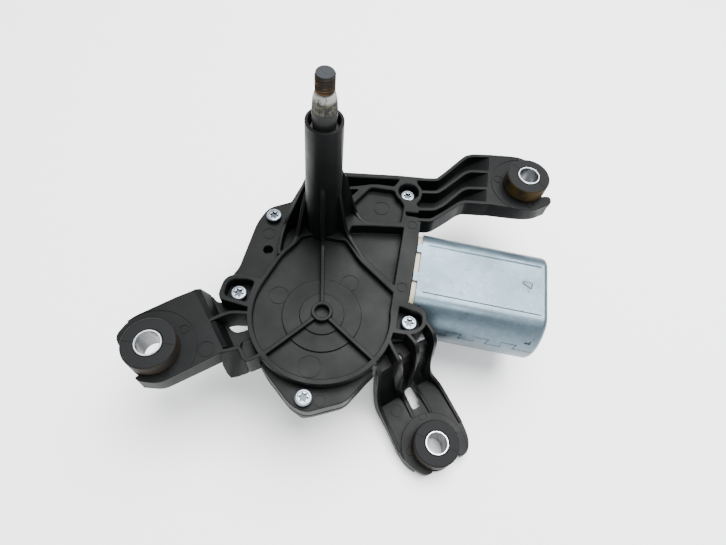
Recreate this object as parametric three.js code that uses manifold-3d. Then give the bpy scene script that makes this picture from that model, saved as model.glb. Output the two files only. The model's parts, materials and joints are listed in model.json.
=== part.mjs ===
// Rear wiper motor: a plastic gearbox housing with an output tower, an electric motor,
// a worm drive, a toothed-rod linkage and three rubber-mounted arms. Millimetres, +Z up.
// The model is laid out about the output axis, with the housing's rim plane at z = 0 and
// +X along the motor. The whole group is then lowered so that the shaft's end is the origin.

import * as THREE from 'three';
import { mergeVertices } from 'three/addons/utils/BufferGeometryUtils.js';
import Module from 'manifold-3d';

const wasm = await Module();
wasm.setup();

// ---------------------------------------------------------------- driving dimensions

const GAP = 0.3;                       // clearance between neighbouring pieces

const SHAFT_TIP = 94;                  // end of the threaded spindle
const TOWER_TOP = 71;
const TOWER_R = 8.1;
const TOWER_BORE_R = 6.55;
const TOWER_FOOT_R = 9.6;

const DRUM = [10.7, -50.7];            // worm wheel axis in plan
const DRUM_R = 35;
const DRUM_INNER_R = 32.5;
const DRUM_FLOOR = -3.5;
const ROOF_UNDER = -6;
const FLANGE_TOP = -7;
const FLANGE_UNDER = -9.5;
const SPLIT = -14;                     // parting plane between housing and gear case
const GASKET_THICK = 0.9;
const CASE_TOP = SPLIT - GASKET_THICK - 2 * GAP;
const CASE_FLOOR = -27.5;
const CASE_BOTTOM = -30;

const MOTOR_Y = -15;                   // armature axis
const MOTOR_Z = -20.5;
const CAN_R = 27.2;
const CAN_FLAT = 20.5;
const CAN_START = 53.3;
const CAN_END = 119.4;
const CAN_WALL = 1.6;
const SEAT_X = 50.5;                   // end face of the gearbox, where the motor sits

const SHAFT_R = 4.75;
const BUSH_R = 6.2;
const BUSH_BORE_R = SHAFT_R + GAP;

const GEAR_MODULE = 1;
const PINION_TEETH = 16;               // the toothed rod has the same pitch radius
const PITCH_R = GEAR_MODULE * PINION_TEETH / 2;
const ROD_TOP = -12.1;
const ROD_UNDER = -15.9;
const ARM_TOP = -10;
const ARM_UNDER = -11.8;
const SECTOR_PIVOT_ANGLE = -150.1;     // where the swing arm points at mid sweep
const CRANK_R = 7.4;
const SECTOR_PIN_R = 2.2;
const CRANK_PIN_R = 2.5;

const WHEEL_TEETH = 48;
const WHEEL_TIP_R = 30.9;
const WHEEL_ROOT_R = 29.5;
const WHEEL_TOP = -16.4;
const WHEEL_UNDER = -24.6;
const WORM_TIP_R = 5.8;
const WORM_ROOT_R = 4.5;
const WORM_PITCH = 2 * Math.PI * 30.2 / WHEEL_TEETH;
const WORM_TURNS = 4;

const SCREW_PLACES = [[-26.8, 0.9], [-31.2, -47.5], [11.4, -90.8], [52.6, -45.4], [41.3, 30.5]];
const SCREW_HEAD_R = 3.9;
const SCREW_HEAD_TOP = -3.6;
const SCREW_HEAD_UNDER = FLANGE_TOP + GAP;
const SCREW_SHANK_R = 1.7;
const SCREW_HOLE_R = 2.1;
const SCREW_END = -23;

const EAR_HOLE = [-24.8, -19];

const GROMMET_R = 11.8;
const SLEEVE_R = 6;
const SLEEVE_BORE_R = 5.2;
const EYE_SLOT_R = 9.6;
const MOUNTS = [
  { name: 'left', x: -58, y: -84.6, z: 0, slot: -140 },
  { name: 'right', x: 104.8, y: 50.5, z: 0, slot: 16 },
  { name: 'front', x: 79.2, y: -90, z: -51, slot: -44 },
];
const PLATE = 3;                       // thickness of an arm's end plate

const SOCKET = { x0: -31, x1: -12, y0: 0, y1: 17, z0: -38, z1: -24 };
const SOCKET_STEM_X = -20.5;           // where its taller inner half starts
const PIN_ROWS = [3.6, 6.9, 10.2, 13.5];
const PIN_LOW = -34.9;                 // underside of the connector blades

// ---------------------------------------------------------------- shape helpers

function solid(geometry) {
  const merged = welded(geometry);
  const mesh = new wasm.Mesh({
    numProp: 3,
    vertProperties: Float32Array.from(merged.attributes.position.array),
    triVerts: Uint32Array.from(merged.index.array),
  });
  return new wasm.Manifold(mesh);
}

function welded(geometry) {
  geometry.deleteAttribute('normal');
  geometry.deleteAttribute('uv');
  return mergeVertices(geometry, 1e-4);
}

function geometryOf(manifold) {
  const mesh = manifold.getMesh();
  const geometry = new THREE.BufferGeometry();
  geometry.setAttribute('position', new THREE.BufferAttribute(Float32Array.from(mesh.vertProperties), 3));
  geometry.setIndex(Array.from(mesh.triVerts));
  geometry.computeVertexNormals();
  return geometry;
}

function prismOf(shape, z0, z1, segments = 12) {
  const options = { depth: z1 - z0, bevelEnabled: false, curveSegments: segments };
  return solid(new THREE.ExtrudeGeometry(shape, options).translate(0, 0, z0));
}

function polygonShape(points) {
  return new THREE.Shape(points.map(([x, y]) => new THREE.Vector2(x, y)));
}

// A polygon whose corners are rounded by the third number of each point.
function roundedShape(corners) {
  const shape = new THREE.Shape();
  const count = corners.length;
  corners.forEach(([x, y, radius = 0], i) => {
    const corner = new THREE.Vector2(x, y);
    const towards = (other) => {
      const side = new THREE.Vector2(other[0], other[1]).sub(corner);
      return corner.clone().addScaledVector(side.clone().normalize(), Math.min(radius, side.length() / 2));
    };
    const before = towards(corners[(i + count - 1) % count]);
    const after = towards(corners[(i + 1) % count]);
    if (i === 0) shape.moveTo(before.x, before.y);
    else shape.lineTo(before.x, before.y);
    if (radius > 0) shape.quadraticCurveTo(x, y, after.x, after.y);
  });
  shape.closePath();
  return shape;
}

const prism = (points, z0, z1) => prismOf(polygonShape(points), z0, z1);
const roundedPrism = (corners, z0, z1) => prismOf(roundedShape(corners), z0, z1, 2);

function cylinder(x, y, radius, z0, z1, sides = 16) {
  const geometry = new THREE.CylinderGeometry(radius, radius, z1 - z0, sides);
  return solid(geometry.rotateX(Math.PI / 2).translate(x, y, (z0 + z1) / 2));
}

// A cylinder along X on the motor's axis, unless dy and dz move it off that axis.
function axleX(radius, x0, x1, sides = 16, dy = 0, dz = 0) {
  const geometry = new THREE.CylinderGeometry(radius, radius, x1 - x0, sides);
  geometry.rotateZ(Math.PI / 2).translate((x0 + x1) / 2, MOTOR_Y + dy, MOTOR_Z + dz);
  return solid(geometry);
}

function box(x0, x1, y0, y1, z0, z1) {
  const geometry = new THREE.BoxGeometry(x1 - x0, y1 - y0, z1 - z0);
  return solid(geometry.translate((x0 + x1) / 2, (y0 + y1) / 2, (z0 + z1) / 2));
}

// Turns a closed profile of [radius, z] points about the vertical through x, y.
function turned(profile, x, y, sides = 20) {
  const points = profile.map(([radius, z]) => new THREE.Vector2(radius, z));
  const geometry = new THREE.LatheGeometry(points, sides);
  return outward(geometry.rotateX(Math.PI / 2).translate(x, y, 0));
}

// Reverses the triangles of a closed geometry when its faces point inwards.
function outward(geometry) {
  const merged = welded(geometry);
  const position = merged.attributes.position;
  const index = Array.from(merged.index.array);
  const corner = (i) => new THREE.Vector3().fromBufferAttribute(position, index[i]);
  const triangles = [];
  let volume = 0;
  for (let i = 0; i < index.length; i += 3) {
    const triple = [index[i], index[i + 1], index[i + 2]];
    if (new Set(triple).size === 3) {
      triangles.push(triple);
      volume += corner(i).dot(corner(i + 1).cross(corner(i + 2)));
    }
  }
  const facing = volume < 0 ? triangles.map(([a, b, c]) => [a, c, b]) : triangles;
  merged.setIndex(facing.flat());
  return solid(merged);
}

// Joins equal loops of [x, y, z] points into one closed body with flat ends.
function loft(loops) {
  const size = loops[0].length;
  const index = [];
  for (let i = 0; i < loops.length - 1; i += 1) {
    for (let j = 0; j < size; j += 1) {
      const a = i * size + j;
      const b = i * size + (j + 1) % size;
      index.push(a, b, b + size, a, b + size, a + size);
    }
  }
  const last = (loops.length - 1) * size;
  for (let j = 1; j < size - 1; j += 1) {
    index.push(0, j + 1, j);
    index.push(last, last + j, last + j + 1);
  }
  const geometry = new THREE.BufferGeometry();
  geometry.setAttribute('position', new THREE.Float32BufferAttribute(loops.flat(2), 3));
  geometry.setIndex(index);
  return outward(geometry);
}

// A standing rib of even width. Each station is [x, y, top, bottom].
function rib(stations, width) {
  const loops = stations.map(([x, y, top, bottom], i) => {
    const before = stations[Math.max(i - 1, 0)];
    const after = stations[Math.min(i + 1, stations.length - 1)];
    const along = new THREE.Vector2(after[0] - before[0], after[1] - before[1]).normalize();
    const dx = -along.y * width / 2;
    const dy = along.x * width / 2;
    return [[x + dx, y + dy, bottom], [x - dx, y - dy, bottom], [x - dx, y - dy, top], [x + dx, y + dy, top]];
  });
  return loft(loops);
}

const join = (pieces) => pieces.reduce((sum, piece) => sum.add(piece));
const cut = (body, tools) => tools.reduce((rest, tool) => rest.subtract(tool), body);

function onCircle([x, y], radius, degrees) {
  const angle = THREE.MathUtils.degToRad(degrees);
  return [x + radius * Math.cos(angle), y + radius * Math.sin(angle)];
}

// ---------------------------------------------------------------- materials

const finish = (color, roughness, metalness) => ({ color, roughness, metalness });
const BLACK_PLASTIC = finish(0x2b2e2f, 0.55, 0);
const GREY_RUBBER = finish(0x3c3b36, 0.8, 0);
const SEAL_RUBBER = finish(0x1c1c1c, 0.85, 0);
const ZINC_STEEL = finish(0xb9c4c8, 0.4, 0.8);
const BRIGHT_STEEL = finish(0xc9ced0, 0.3, 0.9);
const WORN_STEEL = finish(0x8f8a80, 0.5, 0.8);
const SINTERED = finish(0x8a7354, 0.6, 0.6);
const WHITE_PLASTIC = finish(0xd9d6c8, 0.5, 0);
const BRASS = finish(0xc2a04e, 0.35, 0.9);
const COPPER = finish(0xb4683a, 0.35, 0.9);
const FERRITE = finish(0x38383a, 0.8, 0);
const CARBON = finish(0x232323, 0.9, 0);

const assembly = new THREE.Group();

function addPiece(name, body, look) {
  const mesh = new THREE.Mesh(geometryOf(body), new THREE.MeshStandardMaterial(look));
  mesh.name = name;
  assembly.add(mesh);
}

// ---------------------------------------------------------------- gearbox outlines

// The joint line of the two gearbox halves, anticlockwise from the left screw ear.
const FLANGE_OUTLINE = [
  [-39.3, -42, 4], [-39.3, -54, 5], [-23, -56, 2], [-20, -66, 2], [-14, -76.5, 2], [-8, -83],
  [6.5, -95, 5], [13.5, -96.6, 3], [29.9, -88.6, 3], [39, -73.4], [44.5, -56], [57, -52, 5], [60.5, -44, 3],
  [58, -42.8], [SEAT_X, -42.8], [SEAT_X, 12, 2], [48.5, 24, 3], [48.5, 40, 5], [34, 40], [3, 36],
  [-14, 33, 5], [-18.3, 26, 3], [-20.8, 13.6, 1], [-31.8, 6.7, 4], [-35, -4, 4], [-36, -32, 2],
];
const EAR_HOLLOW = [
  [-33.2, -35], [-20, -35], [-14, 8], [2, 10], [2, 33],
  [-9, 31], [-15.8, 25], [-18.3, 11.5], [-28.5, 4.6], [-32, -4.5],
];

// Moves each corner of an outline inwards along its bisector.
function shrink(corners, inset) {
  const count = corners.length;
  return corners.map(([x, y, radius = 0], i) => {
    const before = corners[(i + count - 1) % count];
    const after = corners[(i + 1) % count];
    const inDir = new THREE.Vector2(x - before[0], y - before[1]).normalize();
    const outDir = new THREE.Vector2(after[0] - x, after[1] - y).normalize();
    const normal = new THREE.Vector2(-inDir.y - outDir.y, inDir.x + outDir.x);
    const scale = 2 * inset / Math.max(normal.lengthSq(), 1);
    return [x + normal.x * scale, y + normal.y * scale, radius];
  });
}

// The high cover over the wheel and the linkage: a drum running up into the tower.
const TEARDROP = [
  [-23.5, -43], [-17.3, -24.6], [-13.2, -17.6], [-11.9, -11.3], [-9, 0], [0, 9], [9, 6],
  [14.8, -5.9], [24.7, -17.5], [44.5, -32], [45, -48],
];
const TEARDROP_INSIDE = [
  [-21, -43], [-15.4, -24], [-9.9, -15], [-9, -11.5], [-4, -9], [3, -9],
  [9, -9], [13.6, -8.5], [22.7, -18.8], [42.3, -33], [42.5, -48],
];
const MOTOR_PANEL = [
  [3, 0], [2.8, 35], [34, 40.4], [48.5, 42.3], [48.5, 12], [SEAT_X, 12], [SEAT_X, -38], [44, -38], [20, -20],
];

// ---------------------------------------------------------------- housing

function tower() {
  return turned([
    [0, ROOF_UNDER], [TOWER_FOOT_R, ROOF_UNDER], [TOWER_FOOT_R, 0], [8.9, 12],
    [TOWER_R, TOWER_TOP], [0, TOWER_TOP],
  ], 0, 0, 24);
}

function towerFins() {
  const base = ROOF_UNDER;
  return [
    rib([[-5, 5, 37, base], [-8.4, 3, 31, base], [-18.7, -5, 1.2, base], [-19, -13, 0, base],
      [-18, -21.9, 0, base], [-17, -24, 0, base]], 2),
    rib([[-3, 1, 33, base], [-8.4, -1.5, 25, base], [-10.9, -11.3, 0.8, base], [-12, -16.6, 0, base],
      [-16.3, -23.3, 0, base]], 2),
    rib([[0, 0, 46, base], [1.5, -8.6, 40, base], [3, -14, 2, base], [4.5, -21.5, 0.6, base],
      [9.6, -45.5, 0.6, base]], 2),
    rib([[0, 0, 42, base], [7.8, -2.4, 33, base], [13, -4.5, 2, base], [24.7, -17.5, 0, base]], 2),
    rib([[2, 4, 46, base], [8.6, 4, 38, base], [12.4, 9.6, 14, base], [15.6, 9.4, 1.5, base],
      [18.2, 6.6, 0.3, base], [22.5, 4.4, 0, base], [46.5, 8.6, 0, base]], 2),
  ];
}

function drumRibs() {
  const ends = [onCircle(DRUM, DRUM_INNER_R + 1, 230.5), onCircle(DRUM, DRUM_INNER_R + 1, -32.5)];
  return ends.map(([x, y]) => rib([[...DRUM, 0.6, ROOF_UNDER], [x, y, 0, ROOF_UNDER]], 2.1));
}

// The tray-shaped recesses that are sunk into the rim plane.
function housingRecesses() {
  const upper = 1;
  return [
    cylinder(...DRUM, DRUM_INNER_R, DRUM_FLOOR, upper, 40),
    prism(TEARDROP_INSIDE, DRUM_FLOOR, upper),
    roundedPrism([[15, 1], [14.2, -4.4], [25.6, -16.6], [42.2, -29], [42, 6.4], [23.5, 3.1, 2]], -7.2, upper),
    roundedPrism([[13.4, 15.6, 1], [20.4, 28.6, 2], [33.4, 29.4, 2], [40.2, 20.6], [40, 9],
      [22.5, 5.7, 4], [17.8, 8.2, 3]], -4, upper),
    roundedPrism([[5.4, 32.6, 1], [35.4, 38, 1.5], [33, 32.2], [21.7, 31.3, 5], [14.8, 28.2, 4],
      [8, 25.8]], -11, upper),
    roundedPrism([[9.2, 24], [14.1, 25.2, 1], [11, 19.8]], -8, upper),
    roundedPrism([[44.8, 39.4, 1], [47, 33.4, 1], [52, 33.6], [52, 41]], -8.5, upper),
    roundedPrism([[52, 30.8], [50.2, 30.5], [48.4, 26.8], [46.6, 23], [47.6, 21.6], [52, 21.8]], -8.5, upper),
    prism([[41.5, 16.6], [42.2, 14.2], [52, 14.6], [52, 18]], -8.5, upper),
  ];
}

function screwPockets() {
  const upper = 1;
  const [, left, , right, back] = SCREW_PLACES;
  return [
    roundedPrism([[left[0] - 5.8, left[1] + 4.5, 4], [left[0] - 5.8, left[1] - 4.5, 3], [-25.2, -53.2, 1],
      [-24.6, -42, 1], [-28.5, -41.2, 2]], FLANGE_TOP, upper),
    roundedPrism([[46.4, -39.6, 1], [46.8, -51.6, 1], [54, -51, 4], [right[0] + 5.6, -47.5, 2],
      [right[0] + 5.4, -41.5, 3]], FLANGE_TOP, upper),
    cylinder(...back, 5.6, FLANGE_TOP, upper, 16),
  ];
}

function screwBosses() {
  const [, left, , right] = SCREW_PLACES;
  return [
    roundedPrism([[left[0] - 8, left[1] + 6.5, 6], [left[0] - 8, left[1] - 6.8, 4], [-20, -56, 1],
      [-20, -39, 1], [-28, -39, 3]], SPLIT, 0),
    roundedPrism([[44, -37, 1], [44, -54, 1], [55, -53.5, 5], [right[0] + 7.9, -48, 3],
      [right[0] + 7.6, -39, 4], [50.5, -36.5, 2]], SPLIT, 0),
  ];
}

const LINKAGE_ROOM = [
  [-22, 4], [-24, -4], [-24, -24], [-21.3, -42], [20, -22], [12.5, -6], [11, 8], [0, 12], [-14, 10],
];
const SWING_ROOM = [[-8.5, -11], [-18.5, -36], [14, -26], [12.5, -10], [11, 8], [0, 11], [-8, 8]];

function housingCavity() {
  return [
    cylinder(...DRUM, DRUM_INNER_R - 0.3, SPLIT - 1, ROOF_UNDER, 40),
    prism(LINKAGE_ROOM, SPLIT - 1, FLANGE_UNDER),
    prism(SWING_ROOM, SPLIT - 1, ROOF_UNDER),
    cylinder(0, 0, TOWER_BORE_R, ROOF_UNDER - 1, TOWER_TOP + 1, 24),
    box(-8, 46, MOTOR_Y - 8, MOTOR_Y + 8, SPLIT - 1, FLANGE_UNDER - 1.5),
  ];
}

// Corners laid out from a mount, as [along its slot, across it, radius].
function atFork({ x, y, slot }, corners) {
  const turn = THREE.MathUtils.degToRad(slot);
  return corners.map(([along, across, radius = 0]) => [
    x + along * Math.cos(turn) - across * Math.sin(turn),
    y + along * Math.sin(turn) + across * Math.cos(turn),
    radius,
  ]);
}

function leftArm() {
  const mount = MOUNTS[0];
  const plate = roundedPrism([
    [-28.6, -77.4], [-50.6, -52.2], [-57.5, -57.7], [-64.4, -63.9], [-71.6, -70.4, 3], [-74.7, -75.6, 3],
    ...atFork(mount, [[12.7, -14, 3], [12.5, -8.4, 1.3], [5, -7.5], [5, 7.5], [11.2, 8.4, 1.2]]),
    [-58.6, -99.4, 3], [-50, -98.6, 4], [-44.6, -93.8, 3],
  ], -PLATE, 0);
  const skirt = [
    rib([[-73.6, -74.6, 0, -9], [-70.8, -71, 0, -9], [-64, -65, 0, -9], [-50.4, -53.6, 0, -11]], 2.2),
    rib([[-59, -98.2, -0.5, -9], [-50.3, -97.2, -0.5, -9], [-44.4, -92.2, 0, -9], [-28.6, -78, 0, -11]], 2.2),
    loft([
      [[-54, -55, -PLATE], [-50.6, -52.2, 0], [-45.6, -49, -10], [-45.6, -49, SPLIT]],
      [[-43.6, -67.4, -PLATE], [-40.2, -64.6, 0], [-35.4, -61, -10], [-36, -61, SPLIT]],
      [[-32.4, -80, -PLATE], [-29, -77.4, 0], [-25, -74, -10], [-25, -74, SPLIT]],
    ]),
  ];
  const innerEdge = [[-18, -80.4], [-20.8, -77], [-22.4, -75.8], [-28.6, -79]];
  const bulge = loft([
    [[-28.8, -80.2], [-25.2, -78.4], [-22.2, -77], [-19.6, -79], [-17.2, -82], ...innerEdge]
      .map(([px, py]) => [px, py, -0.6]),
    [[-29.8, -81.2], [-26.6, -84.6], [-24.2, -86.2], [-21, -84.8], [-17, -82.2], ...innerEdge]
      .map(([px, py]) => [px, py, SPLIT]),
  ]);
  const webs = [
    prism([[-47, -50], [-44.2, -49.7], [-41.2, -52.3], [-36, -51.2], [-22, -52], [-22, -58], [-31.4, -59.4],
      [-40, -66]], SPLIT, FLANGE_UNDER),
    prism([[-38, -64], [-36.4, -61], [-33.4, -61.8], [-31.2, -64.2], [-27.8, -65.8], [-25.4, -64.8],
      [-21, -62], [-18, -67], [-23.8, -70], [-23.2, -76], [-28.4, -79], [-34, -72]], SPLIT, FLANGE_UNDER),
    rib([[-39.3, -66, 0, SPLIT], [-36.2, -63.5, 0, SPLIT], [-32.1, -60.4, 0, SPLIT],
      [-29.1, -59.3, 0, SPLIT], [-22.5, -58.4, 0, SPLIT]], 1.8),
    rib([[-29.4, -79.2, 0, SPLIT], [-25.1, -77.3, 0, SPLIT], [-22.3, -75.6, 0, SPLIT],
      [-20.8, -77, 0, SPLIT], [-18.1, -80.4, 0, SPLIT], [-16.4, -80.7, 0, SPLIT],
      [-10, -75.6, 0, SPLIT]], 1.9),
    prism([[-22.8, -70.5], [-18.4, -66], [-12.4, -74], [-12, -77], [-17.2, -80.4], [-21.6, -76]],
      SPLIT, FLANGE_TOP),
  ];
  return cut(join([plate, ...skirt, bulge, ...webs]), [eyeSlot(mount)]);
}

// The open fork that holds a grommet: a round seat with a channel to the outside.
function eyeSlot({ x, y, z, slot }) {
  const channel = new THREE.BoxGeometry(30, 2 * EYE_SLOT_R - 3, 14);
  channel.translate(15, 0, 0).rotateZ(THREE.MathUtils.degToRad(slot)).translate(x, y, z);
  const rim = cylinder(x, y, GROMMET_R + 1, z - 14, z - PLATE - 0.01, 16);
  return join([solid(channel), cylinder(x, y, EYE_SLOT_R, z - 7, z + 7, 16), rim]);
}

const RIGHT_ARM_RIBS = [
  [[43.4, 40.2], [55.8, 42.6], [59.6, 47.6], [70.6, 63.8], [74.6, 66], [86, 68.4]],
  [[45.6, 31.6], [56.8, 33.9], [60.5, 37.9], [70.7, 51.4], [74.2, 53.9], [85, 56]],
  [[43, 19], [47.9, 20], [56.4, 21.9], [61.1, 26.1], [70, 38.7], [73.4, 41.2], [85, 43.8]],
  [[44, 12.4], [55.5, 14.2], [61.7, 20.4], [69.1, 28.8], [72.6, 31.3], [86, 33.4]],
];
// Where the floor between the ribs climbs to the end plate: x, height, and its two edges in y.
const RIGHT_ARM_RAMP = [
  [66, -8.6, 25.6, 57.4], [70, -8.2, 29, 63], [74, -6.7, 31.6, 66], [78, -4, 32.3, 66.8],
  [81, -1.9, 32.7, 67.4], [83.5, -0.6, 33, 68], [86, 0, 33.2, 68.5],
];

function rightArm() {
  const mount = MOUNTS[1];
  const plate = roundedPrism([
    [84, 32.6], [84, 68.4], [90, 69.8, 3], [100, 71.6, 4], [108, 69.6, 5],
    ...atFork(mount, [[9.5, 14.5, 4], [12.2, 8.4, 1.3], [5, 7.5], [5, -7.5], [13.2, -8.3, 1.3],
      [13.4, -12.8, 3]]),
    [112, 34.6, 3], [104, 33, 3],
  ], -PLATE, 0);
  const bed = roundedPrism([
    [46, 41.2], [55.4, 43.2, 2], [60, 49, 3], [69.6, 63.6, 3], [75, 66.6, 4], [86, 68.8], [86, 32.8],
    [72.6, 30.6, 4], [62, 19.6, 4], [55.6, 13.4, 3], [46, 12.2],
  ], -10.5, -8.5);
  const ramp = loft(RIGHT_ARM_RAMP.map(([px, top, low, high]) => {
    const under = Math.min(top, -4) - 2;
    return [[px, low, under], [px, high, under], [px, high, top], [px, low, top]];
  }));
  const ribs = RIGHT_ARM_RIBS.map((path) => rib(path.map(([px, py]) => [px, py, 0, -10.5]), 2.1));
  const skirts = [
    rib([[84, 33.4, 0, -10.5], [104, 34, 0, -9], [112, 36, 0, -9], [118.6, 41, 0, -9]], 2),
    rib([[84, 68, 0, -10.5], [100, 70.6, 0, -8.5], [107, 69, 0, -8.5]], 2),
  ];
  return cut(join([plate, bed, ramp, ...ribs, ...skirts]), [eyeSlot(mount)]);
}

const FRONT_ARM_RIBS = [
  [[37, -70.5, 0, -7], [41.2, -70.4, 0, SPLIT], [43.4, -72.6, -8, -34], [45, -74, -30, -46],
    [47.5, -76.5, -46, -54], [54.8, -85.6, -50, -54], [62, -96, -50.4, -54]],
  [[44.3, -57.9, 0, -7], [45.6, -60.1, 0, -10], [51.1, -67.7, 0, -16], [53.8, -68.8, -10, -34],
    [55.2, -67.8, -24, -46], [57, -66.8, -40, -54], [60, -68.3, -49.4, -54], [66.4, -77.4, -50.2, -54]],
  [[47, -49.6, 0, -7], [53.5, -53.7, 0, -10], [57.2, -57.2, 0, -12], [59, -61, -3, -24],
    [60.3, -62.4, -16, -42], [61.8, -61.8, -34, -54], [64, -61, -45, -54], [68.6, -64.4, -49.4, -54],
    [75.4, -72.6, -50.2, -54]],
  [[57.6, -42, 0, -7], [64.3, -49.6, 0, -12], [66.6, -53.8, -3, -28], [68.2, -55, -24, -44],
    [71.8, -54.6, -43, -54], [78.5, -57.5, -49, -54], [92, -75, -50.2, -54]],
];
const FRONT_ARM_EDGE = [
  [47.6, -76], [51.4, -81.4], [56, -87.8], [61, -95.4, 5], [66.4, -101.6, 5],
  ...atFork(MOUNTS[2], [[8.8, -13, 4], [9.8, -8.4, 1.3], [5, -7.5], [5, 7.5], [12.4, 8.4, 1.3],
    [12.4, 13.4, 3]]),
  [97.4, -82.4, 6], [92.8, -74.2, 4], [80, -57, 4],
];

function frontArm() {
  const mount = MOUNTS[2];
  const { x, y, z } = mount;
  const plate = roundedPrism([...FRONT_ARM_EDGE, [72.5, -53], [66.5, -53.4], [60, -60.5], [54, -68.5]],
    z - PLATE, z);
  const slope = loft([
    [[41.8, -69, -11], [63.4, -47.8, -11], [65, -49.4, -11], [43.4, -70.6, -11]],
    [[42.2, -69.6, -16], [64.4, -49.6, -16], [66, -51, -16], [43.6, -71.4, -16]],
    [[43.6, -71.4, -40], [66, -52, -40], [67.6, -53.6, -40], [45, -73.4, -40]],
    [[47, -74.4, -54], [71, -53.4, -54], [72, -55, -51], [48.4, -76.4, -51]],
  ]);
  const rim = roundedPrism([...FRONT_ARM_EDGE, [79, -62], [55, -84]], z - 7, z);
  const hollow = cylinder(x, y, 15.6, z - 8, z - PLATE, 20);
  const windows = [
    roundedPrism([[59.6, -64.4, 1.5], [63.2, -60.2, 1.5], [70.6, -70, 1.5], [66, -73.6, 1.5]], z - 8, -20),
    roundedPrism([[47.5, -61, 1], [51, -58.4, 1], [54.6, -62.6, 1], [52.4, -65, 1]], -30, 1),
  ];
  const ribs = FRONT_ARM_RIBS.map((path) => rib(path, 1.9));
  const bridge = prism([[36, -69], [44.5, -54], [58, -52], [63.5, -47.8], [60, -54], [50, -62], [42, -69.6]],
    SPLIT, -11);
  const body = join([plate, slope, bridge, cut(rim, [hollow]), ...ribs]);
  return cut(body, [eyeSlot(mount), ...windows]);
}

// The room that the motor can and the gear case take up below the arms.
function neighbourRoom() {
  return [
    canSection(CAN_R + GAP, CAN_FLAT + GAP, CAN_START - 2.4, CAN_END + 1),
    cylinder(...DRUM, DRUM_R + 0.1, -60, SPLIT - 0.01, 40),
  ];
}

function housing() {
  const steps = [
    cylinder(...DRUM, 19, DRUM_FLOOR - 1, DRUM_FLOOR + 0.9, 28),
    cylinder(...DRUM, 10.7, DRUM_FLOOR - 1, DRUM_FLOOR + 1.7, 20),
    cylinder(...DRUM, 5.1, DRUM_FLOOR - 1, 1.4, 16),
  ];
  const cover = join([
    roundedPrism(FLANGE_OUTLINE, SPLIT, FLANGE_TOP),
    cylinder(...DRUM, DRUM_R, SPLIT, 0, 40),
    prism(TEARDROP, SPLIT, 0),
    prism(MOTOR_PANEL, SPLIT, 0),
    ...screwBosses(),
  ]);
  const sunk = cut(cover, housingRecesses());
  const backBoss = cylinder(...SCREW_PLACES[4], 7.6, SPLIT, 0, 20);
  const arms = cut(join([leftArm(), rightArm(), frontArm()]), neighbourRoom());
  const detailed = join([sunk, backBoss, ...steps, ...drumRibs(), ...towerFins(), tower(), arms]);
  const [hx, hy] = EAR_HOLE;
  const screwHoles = SCREW_PLACES.map(([x, y]) => cylinder(x, y, SCREW_HOLE_R, SPLIT - 1, FLANGE_TOP + 1, 8));
  return cut(detailed, [
    ...screwPockets(), ...housingCavity(), earHollow(), ...screwHoles,
    cylinder(...DRUM, 3.4, -2.4, 3, 12),
    cylinder(hx, hy, 2.5, SPLIT - 1, FLANGE_TOP + 1, 20),
    canSection(CAN_R + GAP, CAN_FLAT + GAP, SEAT_X + 0.1, CAN_END + 1),
  ]);
}

// The hollow under the left ear. Material stays along the joint line and round the holes.
function earHollow() {
  const bosses = [...SCREW_PLACES, EAR_HOLE].map(([x, y]) => (
    cylinder(x, y, 4, SPLIT - 2, FLANGE_UNDER + 1, 12)));
  return cut(prism(EAR_HOLLOW, SPLIT - 1, FLANGE_UNDER), bosses);
}

// ---------------------------------------------------------------- gear case and gasket

// The can's outline: a circle with flats above and below, run along X.
function canSection(radius, flat, x0, x1, sides = 10) {
  const half = Math.asin(flat / radius);
  const shape = new THREE.Shape();
  shape.absarc(0, 0, radius, -half, half, false);
  shape.absarc(0, 0, radius, Math.PI - half, Math.PI + half, false);
  shape.closePath();
  const options = { depth: x1 - x0, bevelEnabled: false, curveSegments: sides };
  const geometry = new THREE.ExtrudeGeometry(shape, options);
  geometry.rotateX(Math.PI / 2).rotateZ(Math.PI / 2).translate(x0, MOTOR_Y, MOTOR_Z);
  return solid(geometry);
}

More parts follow.
